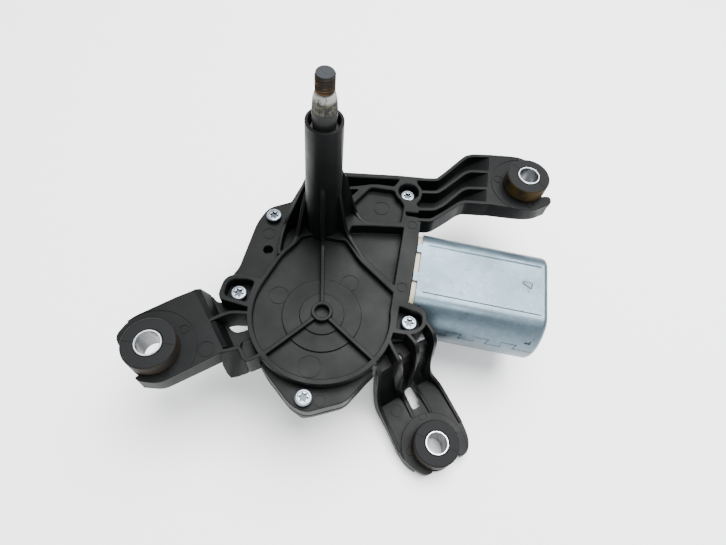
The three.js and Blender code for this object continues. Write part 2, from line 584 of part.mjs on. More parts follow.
function gearCase() {
  const headSection = canSection(CAN_R - 1, CAN_FLAT, 44, SEAT_X);
  const head = cut(headSection, [box(40, 60, -60, 40, CASE_TOP, 5)]);
  const bosses = SCREW_PLACES.map(([x, y]) => cylinder(x, y, 4.2, SCREW_END - 2.5, CASE_TOP, 12));
  const socket = join([
    box(SOCKET.x0, SOCKET.x1, SOCKET.y0, SOCKET.y1, SOCKET.z0, SOCKET.z1),
    box(SOCKET_STEM_X, SOCKET.x1, SOCKET.y0, SOCKET.y1, SOCKET.z0, CASE_TOP),
  ]);
  const gussets = [-30, MOTOR_Y, 0].map((y) => loft([
    [[30, y - 1, CASE_BOTTOM + 1], [30, y + 1, CASE_BOTTOM + 1], [30, y + 1, CASE_BOTTOM],
      [30, y - 1, CASE_BOTTOM]],
    [[45, y - 1, CASE_BOTTOM + 1], [45, y + 1, CASE_BOTTOM + 1], [45, y + 1, -38], [45, y - 1, -38]],
  ]));
  const shell = join([
    roundedPrism(FLANGE_OUTLINE, CASE_TOP - 3, CASE_TOP),
    cylinder(...DRUM, DRUM_R - 0.3, CASE_BOTTOM, CASE_TOP, 40),
    box(-14, 46, MOTOR_Y - 11, MOTOR_Y + 11, CASE_BOTTOM, CASE_TOP),
    box(30, 46, -38, 8, CASE_BOTTOM, CASE_TOP),
    roundedPrism([
      [-29, 8, 3], [-29, -10, 3], [-22, -33], [15, -33], [15, 14, 3], [-20, 14, 3],
    ], -24, CASE_TOP),
    head, socket, ...bosses, ...gussets,
  ]);
  return cut(shell, [
    cylinder(...DRUM, 31.9, CASE_FLOOR, CASE_TOP + 1, 40),
    roundedPrism([
      [-22.4, 6, 3], [-22.4, -6, 3], [-20, -31], [12.5, -31], [12.5, 11.5, 3], [-12, 11.5, 3],
    ], -20.5, CASE_TOP + 1),
    axleX(7.4, -8, 43.5, 24),
    box(-8, 43.5, MOTOR_Y - 7, MOTOR_Y + 7, MOTOR_Z, CASE_TOP + 1),
    axleX(3, -11, 0, 16),
    axleX(3, 40, 60, 16),
    axleX(4.5, 45.8, 60),
    canSection(CAN_R + GAP, CAN_FLAT + GAP, SEAT_X + 0.1, CAN_END + 1),
    cylinder(0, 0, SHAFT_R + GAP, -22.5, -20, 20),
    box(SOCKET.x0 - 1, -19, SOCKET.y0 + 1.8, SOCKET.y1 - 1.8, SOCKET.z0 + 1.8, -26.4),
    ...PIN_ROWS.map((y) => box(-20, -15, y - 0.8, y + 0.8, PIN_LOW - GAP, PIN_LOW + 2 + GAP)),
    box(-17, -14, SOCKET.y0 + 1.8, SOCKET.y1 - 1.8, PIN_LOW - GAP, CASE_TOP + 1),
    ...SCREW_PLACES.map(([x, y]) => cylinder(x, y, SCREW_HOLE_R, SCREW_END - 0.6, CASE_TOP + 1, 8)),
  ]);
}

function caseGasket() {
  const top = SPLIT - GAP;
  const bottom = top - GASKET_THICK;
  const sheet = roundedPrism(shrink(FLANGE_OUTLINE, 0.3), bottom, top);
  const holes = SCREW_PLACES.map(([x, y]) => cylinder(x, y, SCREW_HOLE_R, bottom - 1, top + 1, 8));
  return cut(sheet, [
    cylinder(...DRUM, DRUM_INNER_R, bottom - 1, top + 1, 40),
    prism(LINKAGE_ROOM, bottom - 1, top + 1),
    box(-8, 43, MOTOR_Y - 8, MOTOR_Y + 8, bottom - 1, top + 1),
    ...holes,
  ]);
}

// ---------------------------------------------------------------- output shaft and tower fittings

function outputShaft() {
  const profile = [
    [0, -22.2], [SHAFT_R - 0.3, -22.2], [SHAFT_R, -21.8], [SHAFT_R, -17], [4, -17], [4, ROD_TOP + 1],
    [SHAFT_R, ROD_TOP + 1], [SHAFT_R, 65.2], [4, 65.2], [4, 67], [SHAFT_R, 67], [5.3, 72.5], [5.3, 75.5],
    [4.85, 82], [4.1, 85], [3.4, 85.4], [3.4, 86],
  ];
  for (let z = 86.4; z < SHAFT_TIP - 1; z += 2.5) {
    profile.push([4, z], [4, z + 1.5], [3.4, z + 2]);
  }
  profile.push([3.6, SHAFT_TIP - 0.4], [3.2, SHAFT_TIP], [0, SHAFT_TIP]);
  return turned(profile, 0, 0, 14);
}

function ring(inner, outer, z0, z1, x = 0, y = 0, sides = 16) {
  return turned([[inner, z0], [outer, z0], [outer, z1], [inner, z1], [inner, z0]], x, y, sides);
}

function circlip() {
  const full = ring(4.35, 6.1, 65.5, 66.7);
  return cut(full, [box(-1.2, 1.2, 3, 8, 60, 70)]);
}

// ---------------------------------------------------------------- toothed linkage

// Tooth outline points on a pitch circle, for the teeth whose numbers are given.
function toothPoints(teeth, count, centre, phase) {
  const step = 360 / count;
  const tip = PITCH_R + 0.8;
  const root = PITCH_R - 1.15;
  return teeth.flatMap((tooth) => {
    const middle = phase + tooth * step;
    return [[root, -4.6], [tip, -1.7], [tip, 1.7], [root, 4.6]]
      .map(([radius, turn]) => onCircle(centre, radius, middle + turn));
  });
}

const range = (from, to) => Array.from({ length: to - from + 1 }, (_, i) => from + i);

function outputPinion() {
  const outline = toothPoints(range(0, PINION_TEETH - 1), PINION_TEETH, [0, 0], SECTOR_PIVOT_ANGLE);
  return cut(prism(outline, ROD_UNDER, ROD_TOP), [cylinder(0, 0, 4 + GAP, -20, -5, 20)]);
}

const SECTOR_PIVOT = onCircle([0, 0], 2 * PITCH_R, SECTOR_PIVOT_ANGLE);
const CRANK_PIN = onCircle(DRUM, CRANK_R, bearing(SECTOR_PIVOT, DRUM) - 90);

// The direction in degrees from one point to another in plan.
function bearing(from, to) {
  return THREE.MathUtils.radToDeg(Math.atan2(to[1] - from[1], to[0] - from[0]));
}

function toothedRod() {
  const facing = SECTOR_PIVOT_ANGLE + 180;
  const step = 360 / PINION_TEETH;
  const teeth = toothPoints(range(-2, 3), PINION_TEETH, SECTOR_PIVOT, facing - step / 2);
  const sector = prism([SECTOR_PIVOT, ...teeth], ROD_UNDER, ROD_TOP);
  const barAngle = bearing(SECTOR_PIVOT, CRANK_PIN);
  const bar = prism([
    onCircle(SECTOR_PIVOT, 4.4, barAngle + 90), onCircle(SECTOR_PIVOT, 4.4, barAngle - 90),
    onCircle(CRANK_PIN, 3.8, barAngle - 90), onCircle(CRANK_PIN, 3.8, barAngle + 90),
  ], ROD_UNDER, ROD_TOP);
  const eyes = [
    cylinder(...SECTOR_PIVOT, 5.2, ROD_UNDER, ROD_TOP),
    cylinder(...CRANK_PIN, 5, ROD_UNDER, ROD_TOP),
  ];
  const bores = [
    cylinder(...SECTOR_PIVOT, SECTOR_PIN_R + GAP, -20, -5, 20),
    cylinder(...CRANK_PIN, CRANK_PIN_R + GAP, -20, -5, 20),
  ];
  return cut(join([sector, bar, ...eyes]), bores);
}

function swingArm() {
  const [px, py] = SECTOR_PIVOT;
  const side = (centre, radius, turn) => onCircle(centre, radius, SECTOR_PIVOT_ANGLE + turn);
  const bar = prism([
    side([px, py], 4.6, 90), side([px, py], 4.6, -90), side([0, 0], 7, -90), side([0, 0], 7, 90),
  ], ARM_UNDER, ARM_TOP);
  const body = join([bar, cylinder(0, 0, 7.6, ARM_UNDER, ARM_TOP), cylinder(px, py, 5, ARM_UNDER, ARM_TOP)]);
  return cut(body, [cylinder(0, 0, BUSH_BORE_R, -20, -5), cylinder(px, py, SECTOR_PIN_R + GAP, -20, -5, 20)]);
}

// ---------------------------------------------------------------- worm drive

function wormWheel() {
  const step = 360 / WHEEL_TEETH;
  const outline = range(0, WHEEL_TEETH - 1).flatMap((tooth) => {
    const middle = 90 + (tooth + 0.5) * step;
    return [[WHEEL_ROOT_R, -1.35], [WHEEL_TIP_R, -0.6], [WHEEL_TIP_R, 0.6], [WHEEL_ROOT_R, 1.35]]
      .map(([radius, turn]) => onCircle(DRUM, radius, middle + turn));
  });
  const groove = ring(10, 25, WHEEL_TOP - 2.5, WHEEL_TOP + 1, ...DRUM, 28);
  const discSeat = ring(9.4, 24.6, WHEEL_UNDER - 1, WHEEL_UNDER + 1.2, ...DRUM, 28);
  const bore = cylinder(...DRUM, 2.8, -30, -10, 24);
  return cut(prism(outline, WHEEL_UNDER, WHEEL_TOP), [groove, discSeat, bore]);
}

function parkDisc() {
  const full = ring(10, 24, WHEEL_UNDER + 0.1, WHEEL_UNDER + 0.8, ...DRUM, 28);
  const [x, y] = DRUM;
  const notch = prism([[x + 16, y - 3], [x + 28, y - 5], [x + 28, y + 5], [x + 16, y + 3]], -30, -20);
  return cut(full, [notch]);
}

function wormThread() {
  const sides = 12;
  const perTurn = 8;
  const rows = WORM_TURNS * perTurn;
  const length = WORM_TURNS * WORM_PITCH;
  const start = DRUM[0] - length / 2;
  const loops = [];
  for (let i = 0; i <= rows; i += 1) {
    const x = start + length * i / rows;
    loops.push(range(0, sides - 1).map((j) => {
      const angle = 2 * Math.PI * j / sides;
      const radius = wormRadius(x - DRUM[0], angle);
      return [x, MOTOR_Y + radius * Math.cos(angle), MOTOR_Z + radius * Math.sin(angle)];
    }));
  }
  return loft(loops);
}

// The thread's crest faces the wheel halfway between two of its teeth.
function wormRadius(x, angle) {
  const turns = x / WORM_PITCH - (angle - Math.PI) / (2 * Math.PI);
  const fromCrest = Math.abs(turns - Math.round(turns)) * 2;
  const crest = 0.24;
  const root = 0.52;
  const height = THREE.MathUtils.clamp((root - fromCrest) / (root - crest), 0, 1);
  return WORM_ROOT_R + (WORM_TIP_R - WORM_ROOT_R) * height;
}

function armatureShaft() {
  return join([wormThread(), axleX(2.5, -9.5, 117), axleX(3.6, 21, 40)]);
}

// ---------------------------------------------------------------- motor

function motorCan() {
  const outer = canSection(CAN_R, CAN_FLAT, CAN_START, CAN_END);
  const inner = canSection(CAN_R - CAN_WALL, CAN_FLAT - CAN_WALL, CAN_START - 1, CAN_END - CAN_WALL);
  const top = MOTOR_Z + CAN_FLAT;
  const tabs = [-9, 8].map((dy) => (
    box(SEAT_X + GAP, CAN_START + 0.5, MOTOR_Y + dy, MOTOR_Y + dy + 5, top - 1.1, top)));
  return cut(join([outer, ...tabs]), [inner]);
}

function magnet(side) {
  const outerR = CAN_R - CAN_WALL - GAP;
  const points = [];
  const half = 46;
  const steps = 8;
  for (let i = 0; i <= steps; i += 1) points.push([outerR, -half + 2 * half * i / steps]);
  for (let i = steps; i >= 0; i -= 1) points.push([17.4, -half + 2 * half * i / steps]);
  const loop = (x) => points.map(([radius, degrees]) => {
    const angle = THREE.MathUtils.degToRad(degrees);
    return [x, MOTOR_Y + side * radius * Math.cos(angle), MOTOR_Z + radius * Math.sin(angle)];
  });
  return arcLoft(loop(71), loop(109), steps + 1);
}

// Two arcs joined into a closed bar: the loops run out along one arc and back along the other.
function arcLoft(first, second, half) {
  const count = first.length;
  const index = [];
  for (let j = 0; j < count; j += 1) {
    const k = (j + 1) % count;
    index.push(j, k, k + count, j, k + count, j + count);
  }
  for (let j = 0; j < half - 1; j += 1) {
    const a = j;
    const b = j + 1;
    const c = count - 2 - j;
    const d = count - 1 - j;
    index.push(a, c, b, a, d, c);
    index.push(a + count, b + count, c + count, a + count, c + count, d + count);
  }
  const geometry = new THREE.BufferGeometry();
  geometry.setAttribute('position', new THREE.Float32BufferAttribute([...first, ...second].flat(), 3));
  geometry.setIndex(index);
  return outward(geometry);
}

const SLOTS = 8;
const slotPlaces = (radius) => range(0, SLOTS - 1).map((i) => {
  const angle = 2 * Math.PI * (i + 0.5) / SLOTS;
  return [radius * Math.cos(angle), radius * Math.sin(angle)];
});

function armatureCore() {
  const slots = slotPlaces(13.5).map(([dy, dz]) => axleX(2.9, 70, 110, 8, dy, dz));
  return cut(axleX(16.8, 75, 103, 24), [axleX(2.5 + GAP, 70, 110, 20), ...slots]);
}

function windings() {
  const bars = slotPlaces(13.5).map(([dy, dz]) => axleX(2.4, 71.5, 106.5, 6, dy, dz));
  const ends = [[70.5, 74.5], [103.5, 107.5]].map(([x0, x1]) => axleX(15.6, x0, x1, 16));
  return cut(join([...ends, ...bars]), [axleX(5, 60, 120, 20)]);
}

function commutator() {
  const slits = range(0, SLOTS - 1).map((i) => {
    const bar = new THREE.BoxGeometry(14, 0.5, 2);
    bar.translate(0, 0, 9).rotateX(2 * Math.PI * i / SLOTS).translate(62, MOTOR_Y, MOTOR_Z);
    return solid(bar);
  });
  return cut(axleX(9, 57, 68, 24), [axleX(2.5 + GAP, 50, 75, 20), ...slits]);
}

function brushPlate() {
  const rim = canSection(CAN_R - 1.2, CAN_FLAT - 1.4, SEAT_X + GAP, CAN_START - GAP);
  const plug = canSection(CAN_R - CAN_WALL - GAP, CAN_FLAT - CAN_WALL - GAP, SEAT_X + GAP, 56);
  const holders = [1, -1].map((side) => {
    const z0 = MOTOR_Z + side * 11;
    const z1 = MOTOR_Z + side * 17.8;
    return box(55.5, 66, MOTOR_Y - 4, MOTOR_Y + 4, Math.min(z0, z1), Math.max(z0, z1));
  });
  const channels = [1, -1].map((side) => {
    const z0 = MOTOR_Z + side * 9;
    const z1 = MOTOR_Z + side * 16.6;
    return box(57.3, 64.7, MOTOR_Y - 2.8, MOTOR_Y + 2.8, Math.min(z0, z1), Math.max(z0, z1));
  });
  return cut(join([rim, plug, ...holders]), [axleX(9.6, 50, 60, 28), ...channels]);
}

function brush(side) {
  const near = MOTOR_Z + side * 9.4;
  const far = MOTOR_Z + side * 14.2;
  return box(57.7, 64.3, MOTOR_Y - 2.4, MOTOR_Y + 2.4, Math.min(near, far), Math.max(near, far));
}

function brushSpring(side) {
  const near = MOTOR_Z + side * 14.6;
  const far = MOTOR_Z + side * 16.2;
  return box(58.4, 63.6, MOTOR_Y - 1.8, MOTOR_Y + 1.8, Math.min(near, far), Math.max(near, far));
}

// ---------------------------------------------------------------- mounts, screws, terminals

function grommet({ x, y, z }) {
  const neck = EYE_SLOT_R - GAP;
  const low = z - PLATE - GAP;
  return turned([
    [SLEEVE_R + GAP, z + 8.6], [GROMMET_R, z + 8.6], [GROMMET_R, z + GAP], [neck, z + GAP],
    [neck, low], [GROMMET_R, low], [GROMMET_R, low - 2.6], [SLEEVE_R + GAP, low - 2.6],
    [SLEEVE_R + GAP, z + 8.6],
  ], x, y, 16);
}

const sleeve = ({ x, y, z }) => ring(SLEEVE_BORE_R, SLEEVE_R, z - PLATE - 2.9, z + 8.9, x, y, 16);

function screwRecess(x, y) {
  const star = range(0, 5).map((i) => onCircle([x, y], 2, 60 * i));
  return prism(star, SCREW_HEAD_TOP - 1.6, SCREW_HEAD_TOP + 1);
}

function caseScrew([x, y]) {
  const head = turned([
    [0, SCREW_END], [SCREW_SHANK_R - 0.6, SCREW_END], [SCREW_SHANK_R, SCREW_END + 1.2],
    [SCREW_SHANK_R, SCREW_HEAD_UNDER], [SCREW_HEAD_R, SCREW_HEAD_UNDER], [SCREW_HEAD_R, SCREW_HEAD_TOP - 1],
    [SCREW_HEAD_R - 0.9, SCREW_HEAD_TOP], [0, SCREW_HEAD_TOP],
  ], x, y, 12);
  return cut(head, [screwRecess(x, y)]);
}

// A connector blade in the socket with a leg that rises into the gear case.
function terminal(y) {
  return join([
    box(-28, -14.6, y - 0.5, y + 0.5, PIN_LOW, PIN_LOW + 2),
    box(-16.4, -14.6, y - 0.5, y + 0.5, PIN_LOW, -18),
  ]);
}

function parkContact(radius) {
  const y = DRUM[1] + 3 * (radius - 16);
  return join([
    box(DRUM[0] - radius - 2, DRUM[0] - radius + 2, y - 1.5, y + 1.5, -27.1, -26.5),
    box(DRUM[0] - radius - 0.8, DRUM[0] - radius + 0.8, y - 0.8, y + 0.8, -27, -25),
  ]);
}

// ---------------------------------------------------------------- assembly

addPiece('housing', housing(), BLACK_PLASTIC);
addPiece('gear_case', gearCase(), BLACK_PLASTIC);
addPiece('case_gasket', caseGasket(), SEAL_RUBBER);

addPiece('output_shaft', outputShaft(), WORN_STEEL);
addPiece('lower_bush', ring(BUSH_BORE_R, BUSH_R, -5.6, 14), SINTERED);
addPiece('upper_bush', ring(BUSH_BORE_R, BUSH_R, 44, 60), SINTERED);
addPiece('shaft_seal', ring(BUSH_BORE_R, BUSH_R, 60.4, 63.6), SEAL_RUBBER);
addPiece('shaft_washer', ring(BUSH_BORE_R, BUSH_R, 64.2, 65), BRIGHT_STEEL);
addPiece('shaft_circlip', circlip(), BRIGHT_STEEL);
addPiece('thrust_washer', ring(BUSH_BORE_R, 8, -8.4, -7.4), BRIGHT_STEEL);
addPiece('output_pinion', outputPinion(), SINTERED);

addPiece('swing_arm', swingArm(), BRIGHT_STEEL);
addPiece('sector_pin', cylinder(...SECTOR_PIVOT, SECTOR_PIN_R, -18, ARM_TOP), BRIGHT_STEEL);
addPiece('toothed_rod', toothedRod(), SINTERED);
addPiece('crank_pin', cylinder(...CRANK_PIN, CRANK_PIN_R, WHEEL_TOP + GAP, -11.6), BRIGHT_STEEL);

addPiece('worm_wheel', wormWheel(), WHITE_PLASTIC);
addPiece('wheel_stud', cylinder(...DRUM, 2.5, CASE_FLOOR + GAP, WHEEL_TOP - 0.2, 16), BRIGHT_STEEL);
addPiece('park_disc', parkDisc(), BRASS);
addPiece('park_contact_1', parkContact(13), BRASS);
addPiece('park_contact_2', parkContact(20), BRASS);

addPiece('armature_shaft', armatureShaft(), BRIGHT_STEEL);
addPiece('armature_core', armatureCore(), FERRITE);
addPiece('windings', windings(), COPPER);
addPiece('commutator', commutator(), COPPER);
addPiece('front_bush', cut(axleX(4.2, 46.1, 50), [axleX(2.8, 40, 60)]), SINTERED);
addPiece('rear_bush', cut(axleX(5.4, 113, 117.5), [axleX(2.8, 110, 120)]), SINTERED);
addPiece('thrust_pad', axleX(2.2, -10.7, -9.8, 16), WHITE_PLASTIC);

addPiece('motor_can', motorCan(), ZINC_STEEL);
addPiece('brush_plate', brushPlate(), WHITE_PLASTIC);
[1, -1].forEach((side, i) => {
  addPiece(`magnet_${i + 1}`, magnet(side), FERRITE);
  addPiece(`brush_${i + 1}`, brush(side), CARBON);
  addPiece(`brush_spring_${i + 1}`, brushSpring(side), BRIGHT_STEEL);
  addPiece(`choke_${i + 1}`, axleX(2.8, 57, 68.5, 16, side * 19, 8), FERRITE);
});

SCREW_PLACES.forEach((place, i) => addPiece(`case_screw_${i + 1}`, caseScrew(place), BRIGHT_STEEL));
PIN_ROWS.forEach((y, i) => addPiece(`terminal_${i + 1}`, terminal(y), BRASS));
MOUNTS.forEach((mount) => {
  addPiece(`grommet_${mount.name}`, grommet(mount), GREY_RUBBER);
  addPiece(`sleeve_${mount.name}`, sleeve(mount), BRIGHT_STEEL);
});

assembly.position.z = -SHAFT_TIP;
assembly.updateMatrixWorld(true);

export default assembly;
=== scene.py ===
"""Looks for the rear wiper motor: fine meshes, procedural materials, lights and camera.

Shapes are laid out in millimetres about the output axis, with z = 0 at the housing's rim
plane and +X along the motor. solid() turns them into the frame's metres.
"""

import json
from math import asin, cos, floor, pi, radians, sin, tau

import bmesh
import bpy
from mathutils import Matrix, Vector


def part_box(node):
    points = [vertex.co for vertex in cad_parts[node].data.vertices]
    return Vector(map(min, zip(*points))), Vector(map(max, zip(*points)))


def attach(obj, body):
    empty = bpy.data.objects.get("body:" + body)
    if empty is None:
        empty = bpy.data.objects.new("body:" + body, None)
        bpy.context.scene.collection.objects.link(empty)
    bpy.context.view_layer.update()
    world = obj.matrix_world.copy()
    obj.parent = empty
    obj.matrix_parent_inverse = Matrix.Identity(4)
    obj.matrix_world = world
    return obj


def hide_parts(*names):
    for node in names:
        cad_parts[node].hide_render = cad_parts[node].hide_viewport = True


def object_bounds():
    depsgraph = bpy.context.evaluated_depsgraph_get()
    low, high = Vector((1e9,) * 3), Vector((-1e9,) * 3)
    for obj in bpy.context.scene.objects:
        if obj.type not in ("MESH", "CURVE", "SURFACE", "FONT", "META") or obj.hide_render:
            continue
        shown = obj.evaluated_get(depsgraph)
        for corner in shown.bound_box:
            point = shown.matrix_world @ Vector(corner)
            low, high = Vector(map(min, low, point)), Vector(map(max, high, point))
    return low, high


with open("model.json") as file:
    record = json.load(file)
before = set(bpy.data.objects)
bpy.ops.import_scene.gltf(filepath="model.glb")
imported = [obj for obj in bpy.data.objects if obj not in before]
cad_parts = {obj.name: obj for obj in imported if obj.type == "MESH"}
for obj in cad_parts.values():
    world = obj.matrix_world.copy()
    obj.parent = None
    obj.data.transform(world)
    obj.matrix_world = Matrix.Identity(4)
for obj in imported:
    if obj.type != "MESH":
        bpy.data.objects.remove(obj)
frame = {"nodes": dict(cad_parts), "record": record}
cad_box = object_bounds()

# ---------------------------------------------------------------- dimensions, mm

MM = 0.001
TOWER_TOP = 71
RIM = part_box("housing")[1].z / MM - TOWER_TOP      # height of the rim plane in the frame


def middle(node):
    """The centre of a CAD node's box, in this script's millimetres."""
    low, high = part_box(node)
    centre = (low + high) / 2 / MM
    return centre.x, centre.y, centre.z - RIM


def extent(node):
    """A CAD node's lowest and highest corners, in this script's millimetres."""
    down = Vector((0, 0, RIM))
    return tuple(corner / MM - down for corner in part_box(node))


DRUM = middle("worm_wheel")[:2]
DRUM_R = 35
DRUM_INNER_R = 32.5
DRUM_FLOOR = -3.5
ROOF_UNDER = -6
FLANGE_TOP = -7
FLANGE_UNDER = -9.5
SPLIT = -14
CASE_TOP = -15.5
CASE_FLOOR = -27.5
CASE_BOTTOM = -30
PLATE = 3

TOWER_R = 8.1
TOWER_BORE_R = 6.55
SHAFT_R = 4.75
KNURL_START = 75.8
KNURL_END = 82.2
KNURL_TEETH = 36
KNURL_DEPTH = 0.2
THREAD_R = 4
THREAD_PITCH = 1.25
THREAD_DEPTH = 0.62
THREAD_START = 86
THREAD_END = 93.7
SHAFT_TIP = -RIM

_, MOTOR_Y, MOTOR_Z = middle("armature_core")
CAN_R = 27.2
CAN_FLAT = 20.5
CAN_WALL = 1.6
SEAT_X = 50.5
CAN_START = 53.3
CAN_END = extent("motor_can")[1].x

SCREWS = [middle(f"case_screw_{i}")[:2] for i in range(1, 6)]
EAR_HOLE = (-24.8, -19)
SCREW_TOP = -3.6
GROMMET_R = 11.8
GROMMET_TOP = 8.6                                   # above the arm's plate
SLEEVE_R = 6
SLEEVE_BORE_R = 5.2
EYE_SLOT_R = 9.6
SLEEVE_TOP = 8.9                                    # above the arm's plate
MOUNTS = {}
for side, slot_angle in (("left", -140), ("right", 16), ("front", -44)):
    x, y, _ = middle(f"sleeve_{side}")
    MOUNTS[side] = (x, y, round(extent(f"sleeve_{side}")[1].z - SLEEVE_TOP, 3), slot_angle)

SOCKET = {"x0": -31, "x1": -12, "y0": 0, "y1": 17, "z0": -38, "z1": -24}
SOCKET_STEM_X = -20.5                               # from here on it reaches the case's rim
PIN_ROWS = [middle(f"terminal_{i}")[1] for i in range(1, 5)]

# ---------------------------------------------------------------- outlines


def turn_left(points):
    """The same outline, run anticlockwise."""
    pairs = zip(points, points[1:] + points[:1])
    area = sum(a.x * b.y - b.x * a.y for a, b in pairs)
    return points if area > 0 else points[::-1]


def bend(start, corner, end, steps):
    """Points along a soft bend from start to end that leans towards corner."""
    places = [k / steps for k in range(steps + 1)]
    return [start * (1 - t) ** 2 + corner * 2 * t * (1 - t) + end * t * t for t in places]


def rounded(corners, steps=6):
    """A closed outline. A corner is (x, y) or (x, y, reach), where reach rounds it."""
    points = []
    count = len(corners)
    for i, (x, y, *reach) in enumerate(corners):
        here = Vector((x, y))
        if not reach:
            points.append(here)
            continue
        ends = []
        for other in (corners[i - 1], corners[(i + 1) % count]):
            side = Vector(other[:2]) - here
            ends.append(here + side.normalized() * min(reach[0], side.length / 2.02))
        points += bend(ends[0], here, ends[1], steps)
    return turn_left(points)


def circle(x, y, radius, count=96):
    angles = [tau * i / count for i in range(count)]
    return [Vector((x + radius * cos(a), y + radius * sin(a))) for a in angles]


def inset(outline, distance):
    """The outline moved inwards, each corner along its bisector."""
    moved = []
    count = len(outline)
    for i, here in enumerate(outline):
        before = (here - outline[i - 1]).normalized()
        after = (outline[(i + 1) % count] - here).normalized()
        normal = Vector((-before.y - after.y, before.x + after.x))
        moved.append(here + normal * (2 * distance / max(normal.length_squared, 1)))
    return moved


def on_circle(centre, radius, angle):
    """A point at that angle in degrees round centre."""
    return centre[0] + radius * cos(radians(angle)), centre[1] + radius * sin(radians(angle))


def heading(angle):
    """Unit vectors along an angle in degrees and across it."""
    along = Vector((cos(radians(angle)), sin(radians(angle))))
    return along, Vector((-along.y, along.x))


# ---------------------------------------------------------------- solids


def solid(vertices, faces):
    """A closed mesh object from millimetre points, with its faces turned outwards."""
    mesh = bpy.data.meshes.new("solid")
    points = [(x * MM, y * MM, (z + RIM) * MM) for x, y, z in vertices]
    mesh.from_pydata(points, [], faces)
    work = bmesh.new()
    work.from_mesh(mesh)
    bmesh.ops.recalc_face_normals(work, faces=work.faces)
    work.to_mesh(mesh)
    work.free()
    thing = bpy.data.objects.new("solid", mesh)
    bpy.context.scene.collection.objects.link(thing)
    return thing


def loft(loops, ring=False):
    """Skins equal loops of points. The ends are capped, or joined together in a ring."""
    count = len(loops[0])
    levels = len(loops)
    vertices = [point for loop in loops for point in loop]
    faces = []
    for level in range(levels if ring else levels - 1):
        low = level * count
        high = (level + 1) % levels * count
        for i in range(count):
            j = (i + 1) % count
            faces.append((low + i, low + j, high + j, high + i))
    if not ring:
        faces.append(tuple(reversed(range(count))))
        faces.append(tuple(range(len(vertices) - count, len(vertices))))
    return solid(vertices, faces)


def slab(outline, sections):
    """A solid over the outline. Each section is (height, inset), from the lowest up."""
    return loft([[(p.x, p.y, z) for p in inset(outline, d)] for z, d in sections])


def quarter(edge, steps=3):
    """Pairs (drop, inset) along a rounded edge, from the wall to the top."""
    angles = [pi / 2 * k / steps for k in range(steps + 1)]
    return [(edge * (1 - sin(a)), edge * (1 - cos(a))) for a in angles]


def raised(outline, low, high, edge=0.4):
    """A slab whose upper edge is rounded."""
    return slab(outline, [(low, 0)] + [(high - drop, d) for drop, d in quarter(edge)])


def pocket(outline, bottom, top=0, edge=0.3):
    """A cutter for a recess with a rounded rim and floor."""
    floor_edge = [(bottom + drop, d) for drop, d in reversed(quarter(edge))]
    rim_edge = [(top - edge + d, -edge + drop) for drop, d in quarter(edge)]
    return slab(outline, [*floor_edge, *rim_edge, (top + 2, -edge)])


def prism(outline, low, high):
    return slab(outline, [(low, 0), (high, 0)])


def drum(x, y, radius, low, high, count=96):
    return prism(circle(x, y, radius, count), low, high)


def turned(profile, x, y, count=96, ring=False):
    """Turns a profile of (radius, height) points about the vertical through x, y."""
    return loft([[(*p, z) for p in circle(x, y, r, count)] for r, z in profile], ring)


def block(x0, x1, y0, y1, z0, z1):
    return prism([Vector(p) for p in ((x0, y0), (x1, y0), (x1, y1), (x0, y1))], z0, z1)


def eased(stations, reach, steps=5):
    """The same path with its bends rounded over that share of each span."""
    points = [Vector(s) for s in stations]
    path = [points[0]]
    for before, here, after in zip(points, points[1:], points[2:]):
        path += bend(here.lerp(before, reach), here, here.lerp(after, reach), steps)
    path.append(points[-1])
    return path


def rib(stations, width, reach=0.35, edge=0.4, draft=0.25):
    """A standing rib with a rounded crest along stations (x, y, top, bottom)."""
    path = eased(stations, reach)
    loops = []
    for i, (x, y, top, bottom) in enumerate(path):
        along = path[min(i + 1, len(path) - 1)].xy - path[max(i - 1, 0)].xy
        across = Vector((-along.y, along.x)).normalized()
        crest = [(width / 2 - d, top - drop) for drop, d in quarter(edge)]
        side = [(width / 2 + draft, bottom), *crest]
        profile = side + [(-offset, z) for offset, z in reversed(side)]
        loops.append([(x + across.x * o, y + across.y * o, z) for o, z in profile])
    return loft(loops)


def level_rib(points, width, top, bottom, reach=0.35):
    """A rib whose crest and foot stay level."""
    return rib([(x, y, top, bottom) for x, y in points], width, reach)


def bake(thing):
    """Replaces a mesh by what its modifiers make of it."""
    depsgraph = bpy.context.evaluated_depsgraph_get()
    mesh = bpy.data.meshes.new_from_object(thing.evaluated_get(depsgraph))
    thing.modifiers.clear()
    thing.data = mesh
    return thing


def combine(base, tools, operation):
    for tool in tools:
        step = base.modifiers.new(operation, "BOOLEAN")
        step.operation = operation
        step.solver = "MANIFOLD"
        step.object = tool
    bake(base)
    for tool in tools:
        bpy.data.objects.remove(tool)
    return base


def join(base, *tools):
    return combine(base, tools, "UNION")


def cut(base, *tools):
    return combine(base, tools, "DIFFERENCE")


def together(*things):
    """Solids that don't touch, as one object."""
    first, *rest = things
    work = bmesh.new()
    for thing in things:
        work.from_mesh(thing.data)
    work.to_mesh(first.data)
    work.free()
    for thing in rest:
        bpy.data.objects.remove(thing)
    return first


def engraved(marks, width=0.34, depth=0.3):
    """A cutter for the thin circles that moulding pins leave. A mark is (x, y, z, radius)."""
    rings = []
    for x, y, z, radius in marks:
        inner, outer = radius - width / 2, radius + width / 2
        profile = [(inner, z - depth), (outer, z - depth), (outer, z + 0.4), (inner, z + 0.4)]
        rings.append(turned(profile, x, y, 40, ring=True))
    return together(*rings)


# ---------------------------------------------------------------- housing

